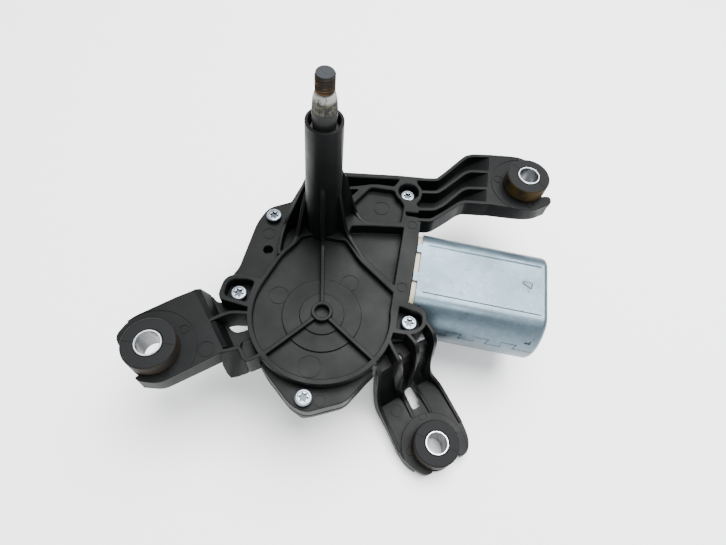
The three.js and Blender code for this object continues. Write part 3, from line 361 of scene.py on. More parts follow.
FLANGE_OUTLINE = [
    (-39.3, -42, 4), (-39.3, -54, 5), (-23, -56, 2), (-20, -66, 2), (-14, -76.5, 2), (-8, -83, 3),
    (6.5, -95, 5), (13.5, -96.6, 3), (29.9, -88.6, 3), (39, -73.4), (44.5, -56), (57, -52, 5),
    (60.5, -44, 3), (58, -42.8), (SEAT_X, -42.8), (SEAT_X, 12, 2), (48.5, 24, 3), (48.5, 40, 5), (34, 40),
    (3, 36), (-14, 33, 5), (-18.3, 26, 3), (-20.8, 13.6, 1), (-31.8, 6.7, 4), (-35, -4, 4), (-36, -32, 2),
]
EAR_HOLLOW = [
    (-33.2, -35), (-20, -35), (-14, 8), (2, 10), (2, 33),
    (-9, 31), (-15.8, 25), (-18.3, 11.5), (-28.5, 4.6), (-32, -4.5),
]
TEARDROP = [
    (-23.5, -43), (-17.3, -24.6, 3), (-13.2, -17.6, 3), (-11.9, -11.3, 3), (-9, 0, 3), (0, 9, 4), (9, 6, 3),
    (14.8, -5.9, 4), (24.7, -17.5, 4), (44.5, -32), (45, -48),
]
TEARDROP_INSIDE = [
    (-21, -43), (-15.4, -24, 3), (-9.9, -15, 3), (-9, -11.5, 2), (-4, -9), (3, -9),
    (9, -9), (13.6, -8.5, 2), (22.7, -18.8, 3), (42.3, -33), (42.5, -48),
]
MOTOR_PANEL = [
    (3, 0), (2.8, 35), (34, 40.4), (48.5, 42.3), (48.5, 12), (SEAT_X, 12),
    (SEAT_X, -38), (44, -38), (20, -20),
]
LINKAGE_ROOM = [
    (-22, 4), (-24, -4), (-24, -24), (-21.3, -42), (20, -22), (12.5, -6), (11, 8), (0, 12), (-14, 10),
]
SWING_ROOM = [(-8.5, -11), (-18.5, -36), (14, -26), (12.5, -10), (11, 8), (0, 11), (-8, 8)]


def tower():
    top = [(TOWER_R - d, TOWER_TOP - drop) for drop, d in quarter(0.35)]
    foot = [(TOWER_R + 1.5, ROOF_UNDER), (TOWER_R + 1.5, 0), (9.1, 8), (8.75, 20), (8.4, 45)]
    return turned(foot + top, 0, 0)


def tower_fins():
    """The fins that brace the tower. A fin runs through points (x, y, top)."""
    paths = [
        [(-5, 5, 37), (-8.4, 3, 31), (-18.7, -5, 1.2), (-19, -13, 0), (-18, -21.9, 0), (-17, -24, 0)],
        [(-3, 1, 33), (-8.4, -1.5, 25), (-10.9, -11.3, 0.8), (-12, -16.6, 0), (-16.3, -23.3, 0)],
        [(0, 0, 46), (1.5, -8.6, 40), (3, -14, 2), (4.5, -21.5, 0.6), (9.6, -45.5, 0.6)],
        [(0, 0, 42), (7.8, -2.4, 33), (13, -4.5, 2), (24.7, -17.5, 0)],
        [(2, 4, 46), (8.6, 4, 38), (12.4, 9.6, 14), (15.6, 9.4, 1.5), (18.2, 6.6, 0.3),
         (22.5, 4.4, 0), (46.5, 8.6, 0)],
    ]
    return [rib([(*point, ROOF_UNDER) for point in path], 1.9, reach=0.3) for path in paths]


def drum_ribs():
    ends = [on_circle(DRUM, DRUM_INNER_R + 1, angle) for angle in (230.5, -32.5)]
    return [rib([(*DRUM, 0.6, ROOF_UNDER), (*end, 0, ROOF_UNDER)], 2) for end in ends]


def drum_steps():
    """The two flat steps and the hub boss in the middle of the drum."""
    sizes = ((19, DRUM_FLOOR + 0.9, 0.35), (10.7, DRUM_FLOOR + 1.7, 0.35), (5.1, 1.4, 0.4))
    return [raised(circle(*DRUM, radius), DRUM_FLOOR - 1, top, edge) for radius, top, edge in sizes]


def cover_recesses():
    """Cutters for the cover's sunk fields. A field is an outline and its floor's height."""
    fields = [
        (TEARDROP_INSIDE, DRUM_FLOOR),
        ([(15, 1, 1), (14.2, -4.4, 1), (25.6, -16.6), (42.2, -29, 1), (42, 6.4, 0.8), (23.5, 3.1, 2)], -7.2),
        ([(13.4, 15.6, 1), (20.4, 28.6, 2), (33.4, 29.4, 2), (40.2, 20.6, 1.5),
          (40, 9, 1), (22.5, 5.7, 4), (17.8, 8.2, 3)], -4),
        ([(5.4, 32.6, 1), (35.4, 38, 1.5), (33, 32.2, 1), (21.7, 31.3, 5), (14.8, 28.2, 4),
          (8, 25.8, 1)], -11),
        ([(9.2, 24, 0.8), (14.1, 25.2, 1), (11, 19.8, 0.8)], -8),
        ([(44.8, 39.4, 1), (47, 33.4, 1), (52, 33.6), (52, 41)], -8.5),
        ([(52, 30.8), (50.2, 30.5, 1), (48.4, 26.8, 1), (46.6, 23, 1), (47.6, 21.6, 1), (52, 21.8)], -8.5),
        ([(41.5, 16.6, 0.5), (42.2, 14.2, 0.5), (52, 14.6), (52, 18)], -8.5),
    ]
    drum_recess = pocket(circle(*DRUM, DRUM_INNER_R, 128), DRUM_FLOOR)
    return [drum_recess, *[pocket(rounded(corners), bottom) for corners, bottom in fields]]


def screw_pockets():
    _, left, _, right, back = SCREWS
    return [
        pocket(rounded([(left[0] - 5.8, left[1] + 4.5, 4), (left[0] - 5.8, left[1] - 4.5, 3),
                        (-25.2, -53.2, 1), (-24.6, -42, 1), (-28.5, -41.2, 2)]), FLANGE_TOP),
        pocket(rounded([(46.4, -39.6, 1), (46.8, -51.6, 1), (54, -51, 4), (right[0] + 5.6, -47.5, 2),
                        (right[0] + 5.4, -41.5, 3)]), FLANGE_TOP),
        pocket(circle(*back, 5.6, 48), FLANGE_TOP),
    ]


def screw_bosses():
    _, left, _, right, _ = SCREWS
    return [
        raised(rounded([(left[0] - 8, left[1] + 6.5, 6), (left[0] - 8, left[1] - 6.8, 4), (-20, -56, 1),
                        (-20, -39, 1), (-28, -39, 3)]), SPLIT, 0),
        raised(rounded([(44, -37, 1), (44, -54, 1), (55, -53.5, 5), (right[0] + 7.9, -48, 3),
                        (right[0] + 7.6, -39, 4), (50.5, -36.5, 2)]), SPLIT, 0),
    ]


def housing_cavity():
    return [
        drum(*DRUM, DRUM_INNER_R - 0.3, SPLIT - 1, ROOF_UNDER),
        prism(rounded(LINKAGE_ROOM), SPLIT - 1, FLANGE_UNDER),
        prism(rounded(SWING_ROOM), SPLIT - 1, ROOF_UNDER),
        turned([(TOWER_BORE_R, ROOF_UNDER - 1), (TOWER_BORE_R, TOWER_TOP - 0.5),
                (TOWER_BORE_R + 0.4, TOWER_TOP + 0.1), (TOWER_BORE_R + 0.4, TOWER_TOP + 1)], 0, 0),
        block(-8, 46, MOTOR_Y - 8, MOTOR_Y + 8, SPLIT - 1, FLANGE_UNDER - 1.5),
    ]


def ear_hollow():
    """The hollow under the left ear, with a boss left round each hole."""
    bosses = [drum(x, y, 4, SPLIT - 2, FLANGE_UNDER + 1, 40) for x, y in [*SCREWS, EAR_HOLE]]
    return cut(prism(rounded(EAR_HOLLOW), SPLIT - 1, FLANGE_UNDER), *bosses)


def eye_slot(side):
    """Cutters for the open fork round a grommet: its seat, its channel and the room below."""
    x, y, z, angle = MOUNTS[side]
    along, across = heading(angle)
    across *= EYE_SLOT_R - 1.5
    here = Vector((x, y))
    channel = [here - across, here + along * 30 - across, here + along * 30 + across, here + across]
    return [
        pocket(turn_left(channel), z - 7, z, 0.3),
        drum(x, y, EYE_SLOT_R, z - 7, z + 7),
        drum(x, y, GROMMET_R + 1, z - 14, z - PLATE - 0.01),
    ]


def at_fork(side, corners):
    """Corners laid out from a mount, as (along its slot, across it, reach)."""
    x, y, _, angle = MOUNTS[side]
    along, _ = heading(angle)
    placed = []
    for a, b, *reach in corners:
        placed.append((x + along.x * a - along.y * b, y + along.y * a + along.x * b, *reach))
    return placed


def left_arm():
    plate = raised(rounded([
        (-28.6, -77.4), (-50.6, -52.2), (-57.5, -57.7), (-64.4, -63.9, 2), (-71.6, -70.4, 3),
        (-74.7, -75.6, 3),
        *at_fork("left", [(12.7, -14, 3), (12.5, -8.4, 1.3), (5, -7.5), (5, 7.5), (11.2, 8.4, 1.2)]),
        (-58.6, -99.4, 3), (-50, -98.6, 4), (-44.6, -93.8, 3),
    ]), -PLATE, 0)
    skirt = [
        rib([(-73.6, -74.6, 0, -9), (-70.8, -71, 0, -9), (-64, -65, 0, -9), (-50.4, -53.6, 0, -11)], 2.2),
        rib([(-59, -98.2, -0.5, -9), (-50.3, -97.2, -0.5, -9), (-44.4, -92.2, 0, -9),
             (-28.6, -78, 0, -11)], 2.2),
        loft([
            [(-54, -55, -PLATE), (-50.6, -52.2, 0), (-48.6, -50.6, -1.5), (-45.6, -49, -10),
             (-45.6, -49, SPLIT)],
            [(-43.6, -67.4, -PLATE), (-40.2, -64.6, 0), (-38.2, -63, -1.5), (-35.4, -61, -10),
             (-36, -61, SPLIT)],
            [(-32.4, -80, -PLATE), (-29, -77.4, 0), (-27.2, -76, -1.5), (-25, -74, -10),
             (-25, -74, SPLIT)],
        ]),
    ]
    back = [(-18, -80.4), (-20.8, -77), (-22.4, -75.8), (-28.6, -79)]
    crest = [(-28.8, -80.2), (-25.2, -78.4), (-22.2, -77), (-19.6, -79), (-17.2, -82), *back]
    foot = [(-29.8, -81.2), (-26.6, -84.6), (-24.2, -86.2), (-21, -84.8), (-17, -82.2), *back]
    bulge = loft([[(x, y, -0.6) for x, y in crest], [(x, y, SPLIT) for x, y in foot]])
    webs = [
        raised(rounded([(-47, -50), (-44.2, -49.7, 1), (-41.2, -52.3, 2), (-36, -51.2, 2), (-22, -52),
                        (-22, -58), (-31.4, -59.4), (-40, -66)]), SPLIT, FLANGE_UNDER),
        raised(rounded([(-38, -64), (-36.4, -61), (-33.4, -61.8, 1), (-31.2, -64.2, 1.5),
                        (-27.8, -65.8, 2), (-25.4, -64.8, 1), (-21, -62), (-18, -67), (-23.8, -70, 1),
                        (-23.2, -76), (-28.4, -79), (-34, -72)]), SPLIT, FLANGE_UNDER),
        level_rib([(-39.3, -66), (-36.2, -63.5), (-32.1, -60.4), (-29.1, -59.3), (-22.5, -58.4)],
                  1.8, 0, SPLIT),
        level_rib([(-29.4, -79.2), (-25.1, -77.3), (-22.3, -75.6), (-20.8, -77), (-18.1, -80.4),
                   (-16.4, -80.7), (-10, -75.6)], 1.9, 0, SPLIT, 0.4),
        raised(rounded([(-22.8, -70.5), (-18.4, -66), (-12.4, -74), (-12, -77), (-17.2, -80.4),
                        (-21.6, -76)]), SPLIT, FLANGE_TOP),
    ]
    return cut(join(plate, *skirt, bulge, *webs), *eye_slot("left"))


def right_arm():
    plate = raised(rounded([
        (84, 32.6), (84, 68.4), (90, 69.8, 3), (100, 71.6, 4), (108, 69.6, 5),
        *at_fork("right", [(9.5, 14.5, 4), (12.2, 8.4, 1.3), (5, 7.5), (5, -7.5), (13.2, -8.3, 1.3),
                           (13.4, -12.8, 3)]),
        (112, 34.6, 3), (104, 33, 3),
    ]), -PLATE, 0)
    bed = raised(rounded([
        (46, 41.2), (55.4, 43.2, 2), (60, 49, 3), (69.6, 63.6, 3), (75, 66.6, 4), (86, 68.8), (86, 32.8),
        (72.6, 30.6, 4), (62, 19.6, 4), (55.6, 13.4, 3), (46, 12.2),
    ]), -10.5, -8.5, 0.3)
    profile = [(66, -8.6), (70, -8.2), (74, -6.7), (78, -4), (81, -1.9), (83.5, -0.6), (86, 0)]
    ramp = loft([
        [(x, low, min(z, -4) - 2), (x, high, min(z, -4) - 2), (x, high, z), (x, low, z)]
        for (x, z), low, high in zip(profile, (25.6, 29, 31.6, 32.3, 32.7, 33, 33.2),
                                     (57.4, 63, 66, 66.8, 67.4, 68, 68.5))
    ])
    paths = [
        [(43.4, 40.2), (55.8, 42.6), (59.6, 47.6), (70.6, 63.8), (74.6, 66), (86, 68.4)],
        [(45.6, 31.6), (56.8, 33.9), (60.5, 37.9), (70.7, 51.4), (74.2, 53.9), (85, 56)],
        [(43, 19), (47.9, 20), (56.4, 21.9), (61.1, 26.1), (70, 38.7), (73.4, 41.2), (85, 43.8)],
        [(44, 12.4), (55.5, 14.2), (61.7, 20.4), (69.1, 28.8), (72.6, 31.3), (86, 33.4)],
    ]
    ribs = [level_rib(path, 2.1, 0, -10.5, 0.22) for path in paths]
    skirts = [
        rib([(84, 33.4, 0, -10.5), (104, 34, 0, -9), (112, 36, 0, -9), (118.6, 41, 0, -9)], 2),
        rib([(84, 68, 0, -10.5), (100, 70.6, 0, -8.5), (107, 69, 0, -8.5)], 2),
    ]
    return cut(join(plate, bed, ramp, *ribs, *skirts), *eye_slot("right"))


FRONT_ARM_EDGE = [
    (47.6, -76), (51.4, -81.4), (56, -87.8), (61, -95.4, 5), (66.4, -101.6, 5),
    *at_fork("front", [(8.8, -13, 4), (9.8, -8.4, 1.3), (5, -7.5), (5, 7.5), (12.4, 8.4, 1.3),
                       (12.4, 13.4, 3)]),
    (97.4, -82.4, 6), (92.8, -74.2, 4), (80, -57, 4),
]


def front_arm():
    x, y, z, _ = MOUNTS["front"]
    outline = rounded([*FRONT_ARM_EDGE, (72.5, -53), (66.5, -53.4), (60, -60.5), (54, -68.5)])
    plate = raised(outline, z - PLATE, z)
    slope = loft([
        [(41.8, -69, -11), (63.4, -47.8, -11), (65, -49.4, -11), (43.4, -70.6, -11)],
        [(42.2, -69.6, -16), (64.4, -49.6, -16), (66, -51, -16), (43.6, -71.4, -16)],
        [(43.6, -71.4, -40), (66, -52, -40), (67.6, -53.6, -40), (45, -73.4, -40)],
        [(47, -74.4, -54), (71, -53.4, -54), (72, -55, -51), (48.4, -76.4, -51)],
    ])
    rim = prism(rounded([*FRONT_ARM_EDGE, (79, -62), (55, -84)]), z - 7, z - 1)
    rim = cut(rim, drum(x, y, 15.6, z - 8, z - PLATE, 72))
    bridge = raised(rounded([(36, -69), (44.5, -54), (58, -52), (63.5, -47.8), (60, -54), (50, -62),
                             (42, -69.6)]), SPLIT, -11)
    paths = [
        [(37, -70.5, 0, -7), (41.2, -70.4, 0, SPLIT), (43.4, -72.6, -8, -34), (45, -74, -30, -46),
         (47.5, -76.5, -46, -54), (54.8, -85.6, -50, -54), (62, -96, -50.4, -54)],
        [(44.3, -57.9, 0, -7), (45.6, -60.1, 0, -10), (51.1, -67.7, 0, -16), (53.8, -68.8, -10, -34),
         (55.2, -67.8, -24, -46), (57, -66.8, -40, -54), (60, -68.3, -49.4, -54), (66.4, -77.4, -50.2, -54)],
        [(47, -49.6, 0, -7), (53.5, -53.7, 0, -10), (57.2, -57.2, 0, -12), (59, -61, -3, -24),
         (60.3, -62.4, -16, -42), (61.8, -61.8, -34, -54), (64, -61, -45, -54), (68.6, -64.4, -49.4, -54),
         (75.4, -72.6, -50.2, -54)],
        [(57.6, -42, 0, -7), (64.3, -49.6, 0, -12), (66.6, -53.8, -3, -28), (68.2, -55, -24, -44),
         (71.8, -54.6, -43, -54), (78.5, -57.5, -49, -54), (92, -75, -50.2, -54)],
    ]
    ribs = [rib(path, 1.9) for path in paths]
    windows = [
        prism(rounded([(59.6, -64.4, 1.5), (63.2, -60.2, 1.5), (70.6, -70, 1.5), (66, -73.6, 1.5)]),
              z - 8, -20),
        prism(rounded([(47.5, -61, 1), (51, -58.4, 1), (54.6, -62.6, 1), (52.4, -65, 1)]), -30, 1),
    ]
    collar = raised(circle(x, y, 17.3), z - PLATE, z + 0.5, 0.3)
    collar = cut(collar, outside(FRONT_ARM_EDGE, z))
    return cut(join(plate, slope, bridge, rim, *ribs, collar), *eye_slot("front"), *windows)


def outside(edge, z):
    """A wide slab with the arm's outline left open, to trim what would stick out past it."""
    around = prism([Vector(p) for p in ((20, -130), (130, -130), (130, -30), (20, -30))], z - 8, z + 2)
    return cut(around, prism(rounded([*edge, (66, -40), (36, -60)]), z - 9, z + 3))


# ---------------------------------------------------------------- the motor's outline


def can_section(radius, flat, fillet=4, steps=6):
    """The can's outline as (y, z): a circle with flats above and below and soft bends."""
    half = asin(flat / radius)
    reach = fillet / radius
    corners = []
    for turn in (0, pi):
        side = [radius * Vector((cos(turn + a), sin(turn + a)))
                for a in (-half + reach + (half - reach) * 2 * k / 16 for k in range(17))]
        before = radius * Vector((cos(turn - half), sin(turn - half)))
        after = radius * Vector((cos(turn + half), sin(turn + half)))
        flat_way = Vector((cos(turn), 0)) * fillet
        corners += bend(before - flat_way, before, side[0], steps)[:-1]
        corners += side
        corners += bend(side[-1], after, after - flat_way, steps)[1:]
    return [Vector((MOTOR_Y + p.x, MOTOR_Z + p.y)) for p in corners]


def along_motor(outline, sections):
    """A solid along X over an outline in (y, z). Each section is (x, inset)."""
    return loft([[(x, p.x, p.y) for p in inset(outline, d)] for x, d in sections])


def motor_room():
    return along_motor(can_section(CAN_R + 0.3, CAN_FLAT + 0.3), [(SEAT_X + 0.1, 0), (CAN_END + 1, 0)])


def neighbour_room():
    """The room that the motor and the gear case take up below the arms."""
    can = along_motor(can_section(CAN_R + 0.3, CAN_FLAT + 0.3), [(CAN_START - 2.4, 0), (CAN_END + 1, 0)])
    return [can, drum(*DRUM, DRUM_R + 0.1, -60, SPLIT - 0.01)]


# ---------------------------------------------------------------- whole housing

MARKS = [
    (10.9, -77, DRUM_FLOOR, 5.2), (-12, -45, DRUM_FLOOR, 4.6), (20.5, -31, DRUM_FLOOR, 4.4),
    (46.2, 8.6, 0, 2.4), (46.2, -29.4, 0, 2.4), (28.5, 18.5, -4, 4.2),
    (-26.8, -9.5, FLANGE_TOP, 3.2), (18.5, -90.4, FLANGE_TOP, 2.7),
    (-35.6, -79.6, 0, 3.6), (-48.3, -72.6, 0, 2), (-49.6, -93.3, 0, 2), (-58, -84.6, 0, 19),
    (90, 51.5, 0, 2.3), (108.7, 37.5, 0, 2.2), (104.8, 50.5, 0, 18.6),
    (71.2, -75.9, -50.65, 2.2), (67.6, -95, -50.65, 2.2), (90.5, -79, -50.65, 2.2),
    (57.4, -75.8, -51, 3.2),
]


def housing():
    cover = join(
        raised(rounded(FLANGE_OUTLINE), SPLIT, FLANGE_TOP),
        raised(circle(*DRUM, DRUM_R, 128), SPLIT, 0, 0.3),
        raised(rounded(TEARDROP), SPLIT, 0, 0.3),
        raised(rounded(MOTOR_PANEL), SPLIT, 0, 0.3),
        *screw_bosses(),
    )
    cut(cover, *cover_recesses())
    back_boss = raised(circle(*SCREWS[4], 7.6, 56), SPLIT, 0)
    arms = join(left_arm(), right_arm(), front_arm())
    cut(arms, *neighbour_room())
    join(cover, back_boss, *drum_steps(), *drum_ribs(), *tower_fins(), tower(), arms)
    screw_holes = [drum(x, y, 2.1, SPLIT - 1, FLANGE_TOP + 1, 24) for x, y in SCREWS]
    hub_hole = pocket(circle(*DRUM, 3.4, 40), -2.4, 1.4)
    ear_hole = pocket(circle(*EAR_HOLE, 2.5, 40), SPLIT - 1, FLANGE_TOP, 0.2)
    cut(cover, *screw_pockets(), *housing_cavity(), ear_hollow())
    cut(cover, *screw_holes, hub_hole, ear_hole, motor_room())
    return cut(cover, engraved(MARKS))


# ---------------------------------------------------------------- gear case


def gear_case():
    head = along_motor(can_section(CAN_R - 1, CAN_FLAT), [(44, 0), (SEAT_X, 0)])
    cut(head, block(40, 60, -60, 40, CASE_TOP, 5))
    bosses = [drum(x, y, 4.2, -25.5, CASE_TOP, 40) for x, y in SCREWS]
    socket = [
        block(start, SOCKET["x1"], SOCKET["y0"], SOCKET["y1"], SOCKET["z0"], top)
        for start, top in ((SOCKET["x0"], SOCKET["z1"]), (SOCKET_STEM_X, CASE_TOP))
    ]
    gussets = [
        loft([
            [(30, y - 1, -29), (30, y + 1, -29), (30, y + 1, CASE_BOTTOM), (30, y - 1, CASE_BOTTOM)],
            [(45, y - 1, -29), (45, y + 1, -29), (45, y + 1, -38), (45, y - 1, -38)],
        ])
        for y in (-30, MOTOR_Y, 0)
    ]
    shell = join(
        prism(rounded(FLANGE_OUTLINE), CASE_TOP - 3, CASE_TOP),
        lowered(circle(*DRUM, DRUM_R - 0.3, 128), CASE_BOTTOM, CASE_TOP, 1),
        lowered(rounded([(-14, -26, 2), (46, -26), (46, -4), (-14, -4, 2)]), CASE_BOTTOM, CASE_TOP, 1),
        lowered(rounded([(30, -38, 3), (46, -38), (46, 8), (30, 8, 3)]), CASE_BOTTOM, CASE_TOP, 1),
        lowered(rounded([(-29, 8, 3), (-29, -10, 3), (-22, -33, 1), (15, -33, 1), (15, 14, 3), (-20, 14, 3)]),
                -24, CASE_TOP, 1),
        head, *socket, *bosses, *gussets,
    )
    inner_x = SOCKET["x0"] + 12
    wall = 1.8
    low_pin = extent("terminal_1")[0].z
    return cut(
        shell,
        drum(*DRUM, 31.9, CASE_FLOOR, CASE_TOP + 1),
        prism(rounded([(-22.4, 6, 3), (-22.4, -6, 3), (-20, -31, 1), (12.5, -31, 1), (12.5, 11.5, 3),
                       (-12, 11.5, 3)]), -20.5, CASE_TOP + 1),
        along_motor(motor_circle(7.4), [(-8, 0), (43.5, 0)]),
        block(-8, 43.5, MOTOR_Y - 7, MOTOR_Y + 7, MOTOR_Z, CASE_TOP + 1),
        along_motor(motor_circle(3), [(-11, 0), (60, 0)]),
        along_motor(motor_circle(4.5), [(45.8, 0), (60, 0)]),
        motor_room(),
        drum(0, 0, SHAFT_R + 0.3, -22.5, -20, 40),
        block(SOCKET["x0"] - 1, inner_x, SOCKET["y0"] + wall, SOCKET["y1"] - wall,
              SOCKET["z0"] + wall, -26.4),
        block(-17, -14, SOCKET["y0"] + wall, SOCKET["y1"] - wall, low_pin - 0.3, CASE_TOP + 1),
        *[block(-20, -15, y - 0.8, y + 0.8, low_pin - 0.3, low_pin + 2.3) for y in PIN_ROWS],
        *[drum(x, y, 2.1, -23.6, CASE_TOP + 1, 24) for x, y in SCREWS],
    )


def lowered(outline, low, high, edge):
    """A slab whose lower edge is rounded."""
    return slab(outline, [(low + drop, d) for drop, d in reversed(quarter(edge))] + [(high, 0)])


def motor_circle(radius, count=48):
    return circle(MOTOR_Y, MOTOR_Z, radius, count)


# ---------------------------------------------------------------- motor


def motor_can():
    section = can_section(CAN_R, CAN_FLAT)
    end_edge = [(CAN_END - drop, d) for drop, d in quarter(2.6, 5)]
    shell = along_motor(section, [(CAN_START, 0), *end_edge])
    top = MOTOR_Z + CAN_FLAT
    tabs = [block(SEAT_X + 0.3, CAN_START + 0.5, y, y + 5, top - 1.1, top)
            for y in (MOTOR_Y - 9, MOTOR_Y + 8)]
    inside = along_motor(inset(section, CAN_WALL), [(CAN_START - 1, 0), (CAN_END - CAN_WALL, 0)])
    return cut(join(shell, *tabs), inside, *can_grooves(), seam(), can_slot())


def can_grooves():
    """The pressed lines and marks in the can's top and side."""
    top = MOTOR_Z + CAN_FLAT
    grooves = [slot_cutter(CAN_START + 3, CAN_END - 4, y, width, top, 0.4)
               for y, width in ((-1.9, 1.1), (-29.6, 0.7))]
    dimple = slab(
        rounded([(105.2, -13.6, 1.5), (110.4, -16.4, 0.6), (111.4, -12, 0.6), (106.4, -11.8, 1.5)]),
        [(top - 0.45, 1.1), (top - 0.3, 0.45), (top, 0), (top + 1, 0)],
    )
    return [*grooves, dimple]


def can_slot():
    """A small punched pit near the can's end, on its front side."""
    corners = [(CAN_R - 0.7, 157), (CAN_R + 1, 157), (CAN_R + 1, 162), (CAN_R - 0.7, 162)]
    places = [on_circle((MOTOR_Y, MOTOR_Z), radius, angle) for radius, angle in corners]
    return loft([[(x, *place) for place in places] for x in (CAN_END - 8, CAN_END - 5)])


def slot_cutter(x0, x1, y, width, top, depth):
    profile = [(y - width / 2, top + 0.5), (y - width / 2, top), (y, top - depth), (y + width / 2, top),
               (y + width / 2, top + 0.5)]
    return along_motor(turn_left([Vector(p) for p in profile]), [(x0, 0), (x1, 0)])


SEAM_ANGLE = 175                                    # round the motor axis, from +Y
SEAM_HALF_WIDTH = 0.2


def seam():
    """The interlocked joint of the rolled can, a line of tabs low on its front side."""
    path = [(CAN_START - 1, 0)]
    tab = 14
    x = CAN_START + 6
    while x + tab < CAN_END - 3:
        path += [(x, 0), (x - 1, 4), (x + 7, 4), (x + 6, 0)]
        x += tab
    path.append((CAN_END - 2, 0))
    loops = []
    normals = []
    for (ax, ay), (bx, by) in zip(path, path[1:]):
        normals.append(Vector((ay - by, bx - ax)).normalized())
    for i, (px, rise) in enumerate(path):
        mitre = normals[max(i - 1, 0)] + normals[min(i, len(normals) - 1)]
        across = mitre * (2 * SEAM_HALF_WIDTH / mitre.length_squared)
        corners = []
        for side, radius in ((-1, CAN_R - 0.4), (-1, CAN_R + 1), (1, CAN_R + 1), (1, CAN_R - 0.4)):
            angle = radians(SEAM_ANGLE) - (rise + across.y * side) / CAN_R
            y = MOTOR_Y + radius * cos(angle)
            z = MOTOR_Z + radius * sin(angle)
            corners.append((px + across.x * side, y, z))
        loops.append(corners)
    return loft(loops)


def brush_plate():
    rim = along_motor(can_section(CAN_R - 1.2, CAN_FLAT - 1.4), [(SEAT_X + 0.3, 0), (CAN_START - 0.3, 0)])
    plug = along_motor(can_section(CAN_R - 1.9, CAN_FLAT - 1.9), [(SEAT_X + 0.3, 0), (56, 0)])
    holders = [block(55.5, 66, MOTOR_Y - 4, MOTOR_Y + 4, MOTOR_Z + low, MOTOR_Z + low + 6.8)
               for low in (11, -17.8)]
    channels = [block(57.3, 64.7, MOTOR_Y - 2.8, MOTOR_Y + 2.8, MOTOR_Z + low, MOTOR_Z + low + 7.6)
                for low in (9, -16.6)]
    return cut(join(rim, plug, *holders), along_motor(motor_circle(9.6), [(50, 0), (60, 0)]), *channels)


# ---------------------------------------------------------------- output shaft


def shaft_radius(height, angle):
    """The turned profile with the worn knurl and the right-handed M8 thread on it."""
    outline = [
        (-22.2, 4.45), (-21.8, SHAFT_R), (-17, SHAFT_R), (-17, 4), (-11.1, 4), (-11.1, SHAFT_R),
        (65.2, SHAFT_R), (65.2, 4), (67, 4), (67, SHAFT_R), (72.5, 5.2), (75.5, 5.3), (82, 4.85),
        (85, 4.1), (85.4, 3.5), (86, 3.5), (86.4, THREAD_R), (93.3, THREAD_R), (SHAFT_TIP, 3.5),
    ]
    radius = outline[0][1]
    for (z0, r0), (z1, r1) in zip(outline, outline[1:]):
        if z0 <= height <= z1 and z1 > z0:
            radius = r0 + (r1 - r0) * (height - z0) / (z1 - z0)
    if KNURL_START < height < KNURL_END:
        radius -= KNURL_DEPTH * (0.5 + 0.5 * cos(KNURL_TEETH * angle))
    if THREAD_START < height < THREAD_END:
        turns = height / THREAD_PITCH - angle / tau
        radius -= THREAD_DEPTH * abs(2 * (turns - floor(turns)) - 1)
    return radius


def output_shaft():
    count = 144
    steps = [-22.2, -21.8, -17.001, -17, -11.1, -11.099, 0, 65.199, 65.2, 67, 67.001, 70, 72.5, 74, 75.5]
    steps += [KNURL_START + 0.4 * k for k in range(17)]
    steps += [82.4, 83.6, 84.4, 85, 85.2, 85.4, 85.7]
    steps += [THREAD_START + 0.1 * k for k in range(77)]
    steps += [THREAD_END + 0.05, SHAFT_TIP - 0.12, SHAFT_TIP]
    heights = sorted(steps)
    loops = []
    for height in heights:
        angles = [tau * i / count for i in range(count)]
        radii = [shaft_radius(height, a) for a in angles]
        loops.append([(r * cos(a), r * sin(a), height) for r, a in zip(radii, angles)])
    return loft(loops)


# ---------------------------------------------------------------- mounts and screws


def grommet(side):
    x, y, z, _ = MOUNTS[side]
    neck = EYE_SLOT_R - 0.3
    bore = SLEEVE_R + 0.3
    low = z - PLATE - 0.3
    crown = z + GROMMET_TOP
    top = [(GROMMET_R - d, crown - drop) for drop, d in quarter(0.9, 4)]
    foot = [(GROMMET_R - d, low - 2.6 + drop) for drop, d in reversed(quarter(0.8, 4))]
    profile = [
        (bore, crown - 0.25), (bore + 0.35, crown), *reversed(top),
        (GROMMET_R, z + 0.6), (GROMMET_R - 0.3, z + 0.3), (neck, z + 0.3),
        (neck, low), (GROMMET_R - 0.3, low), (GROMMET_R, low - 0.3), *reversed(foot), (bore, low - 2.6),
    ]
    body = turned(profile, x, y, 96, ring=True)
    turn = {"left": 8, "right": -35, "front": -12}[side]
    lines = [parting_line(x, y, crown, turn + half) for half in (0, 180)]
    return cut(body, *lines)


def parting_line(x, y, top, angle):
    """A cutter for the thin parting line from a grommet's bore out across its top."""
    along, across = heading(angle)
    across *= 0.13
    start = Vector((x, y)) + along * (SLEEVE_R + 1.2)
    end = Vector((x, y)) + along * (GROMMET_R + 1)
    corners = [start - across, end - across, end + across, start + across]
    return prism(turn_left(corners), top - 0.25, top + 1)


def sleeve(side):
    x, y, z, _ = MOUNTS[side]
    low = z - PLATE - 2.9
    high = z + SLEEVE_TOP
    profile = [
        (SLEEVE_BORE_R, low + 0.2), (SLEEVE_BORE_R + 0.2, low),
        (SLEEVE_R - 0.2, low), (SLEEVE_R, low + 0.2),
        (SLEEVE_R, high - 0.25), (SLEEVE_R - 0.25, high),
        (SLEEVE_BORE_R + 0.2, high), (SLEEVE_BORE_R, high - 0.2),
    ]
    return turned(profile, x, y, 96, ring=True)


def case_screw(x, y):
    top = SCREW_TOP
    under = FLANGE_TOP + 0.3
    head_edge = [(3.9 - d, top - drop) for drop, d in quarter(0.9, 5)]
    shank = [(1.1, -23), (1.7, -21.8), (1.7, under), (3.7, under), (3.9, under + 0.2)]
    body = turned(shank + head_edge, x, y, 64)
    dish = turned([(2.5, top - 0.5), (2.7, top - 0.3), (3.05, top + 0.4)], x, y, 48)
    return cut(body, six_lobe(x, y, top), dish)


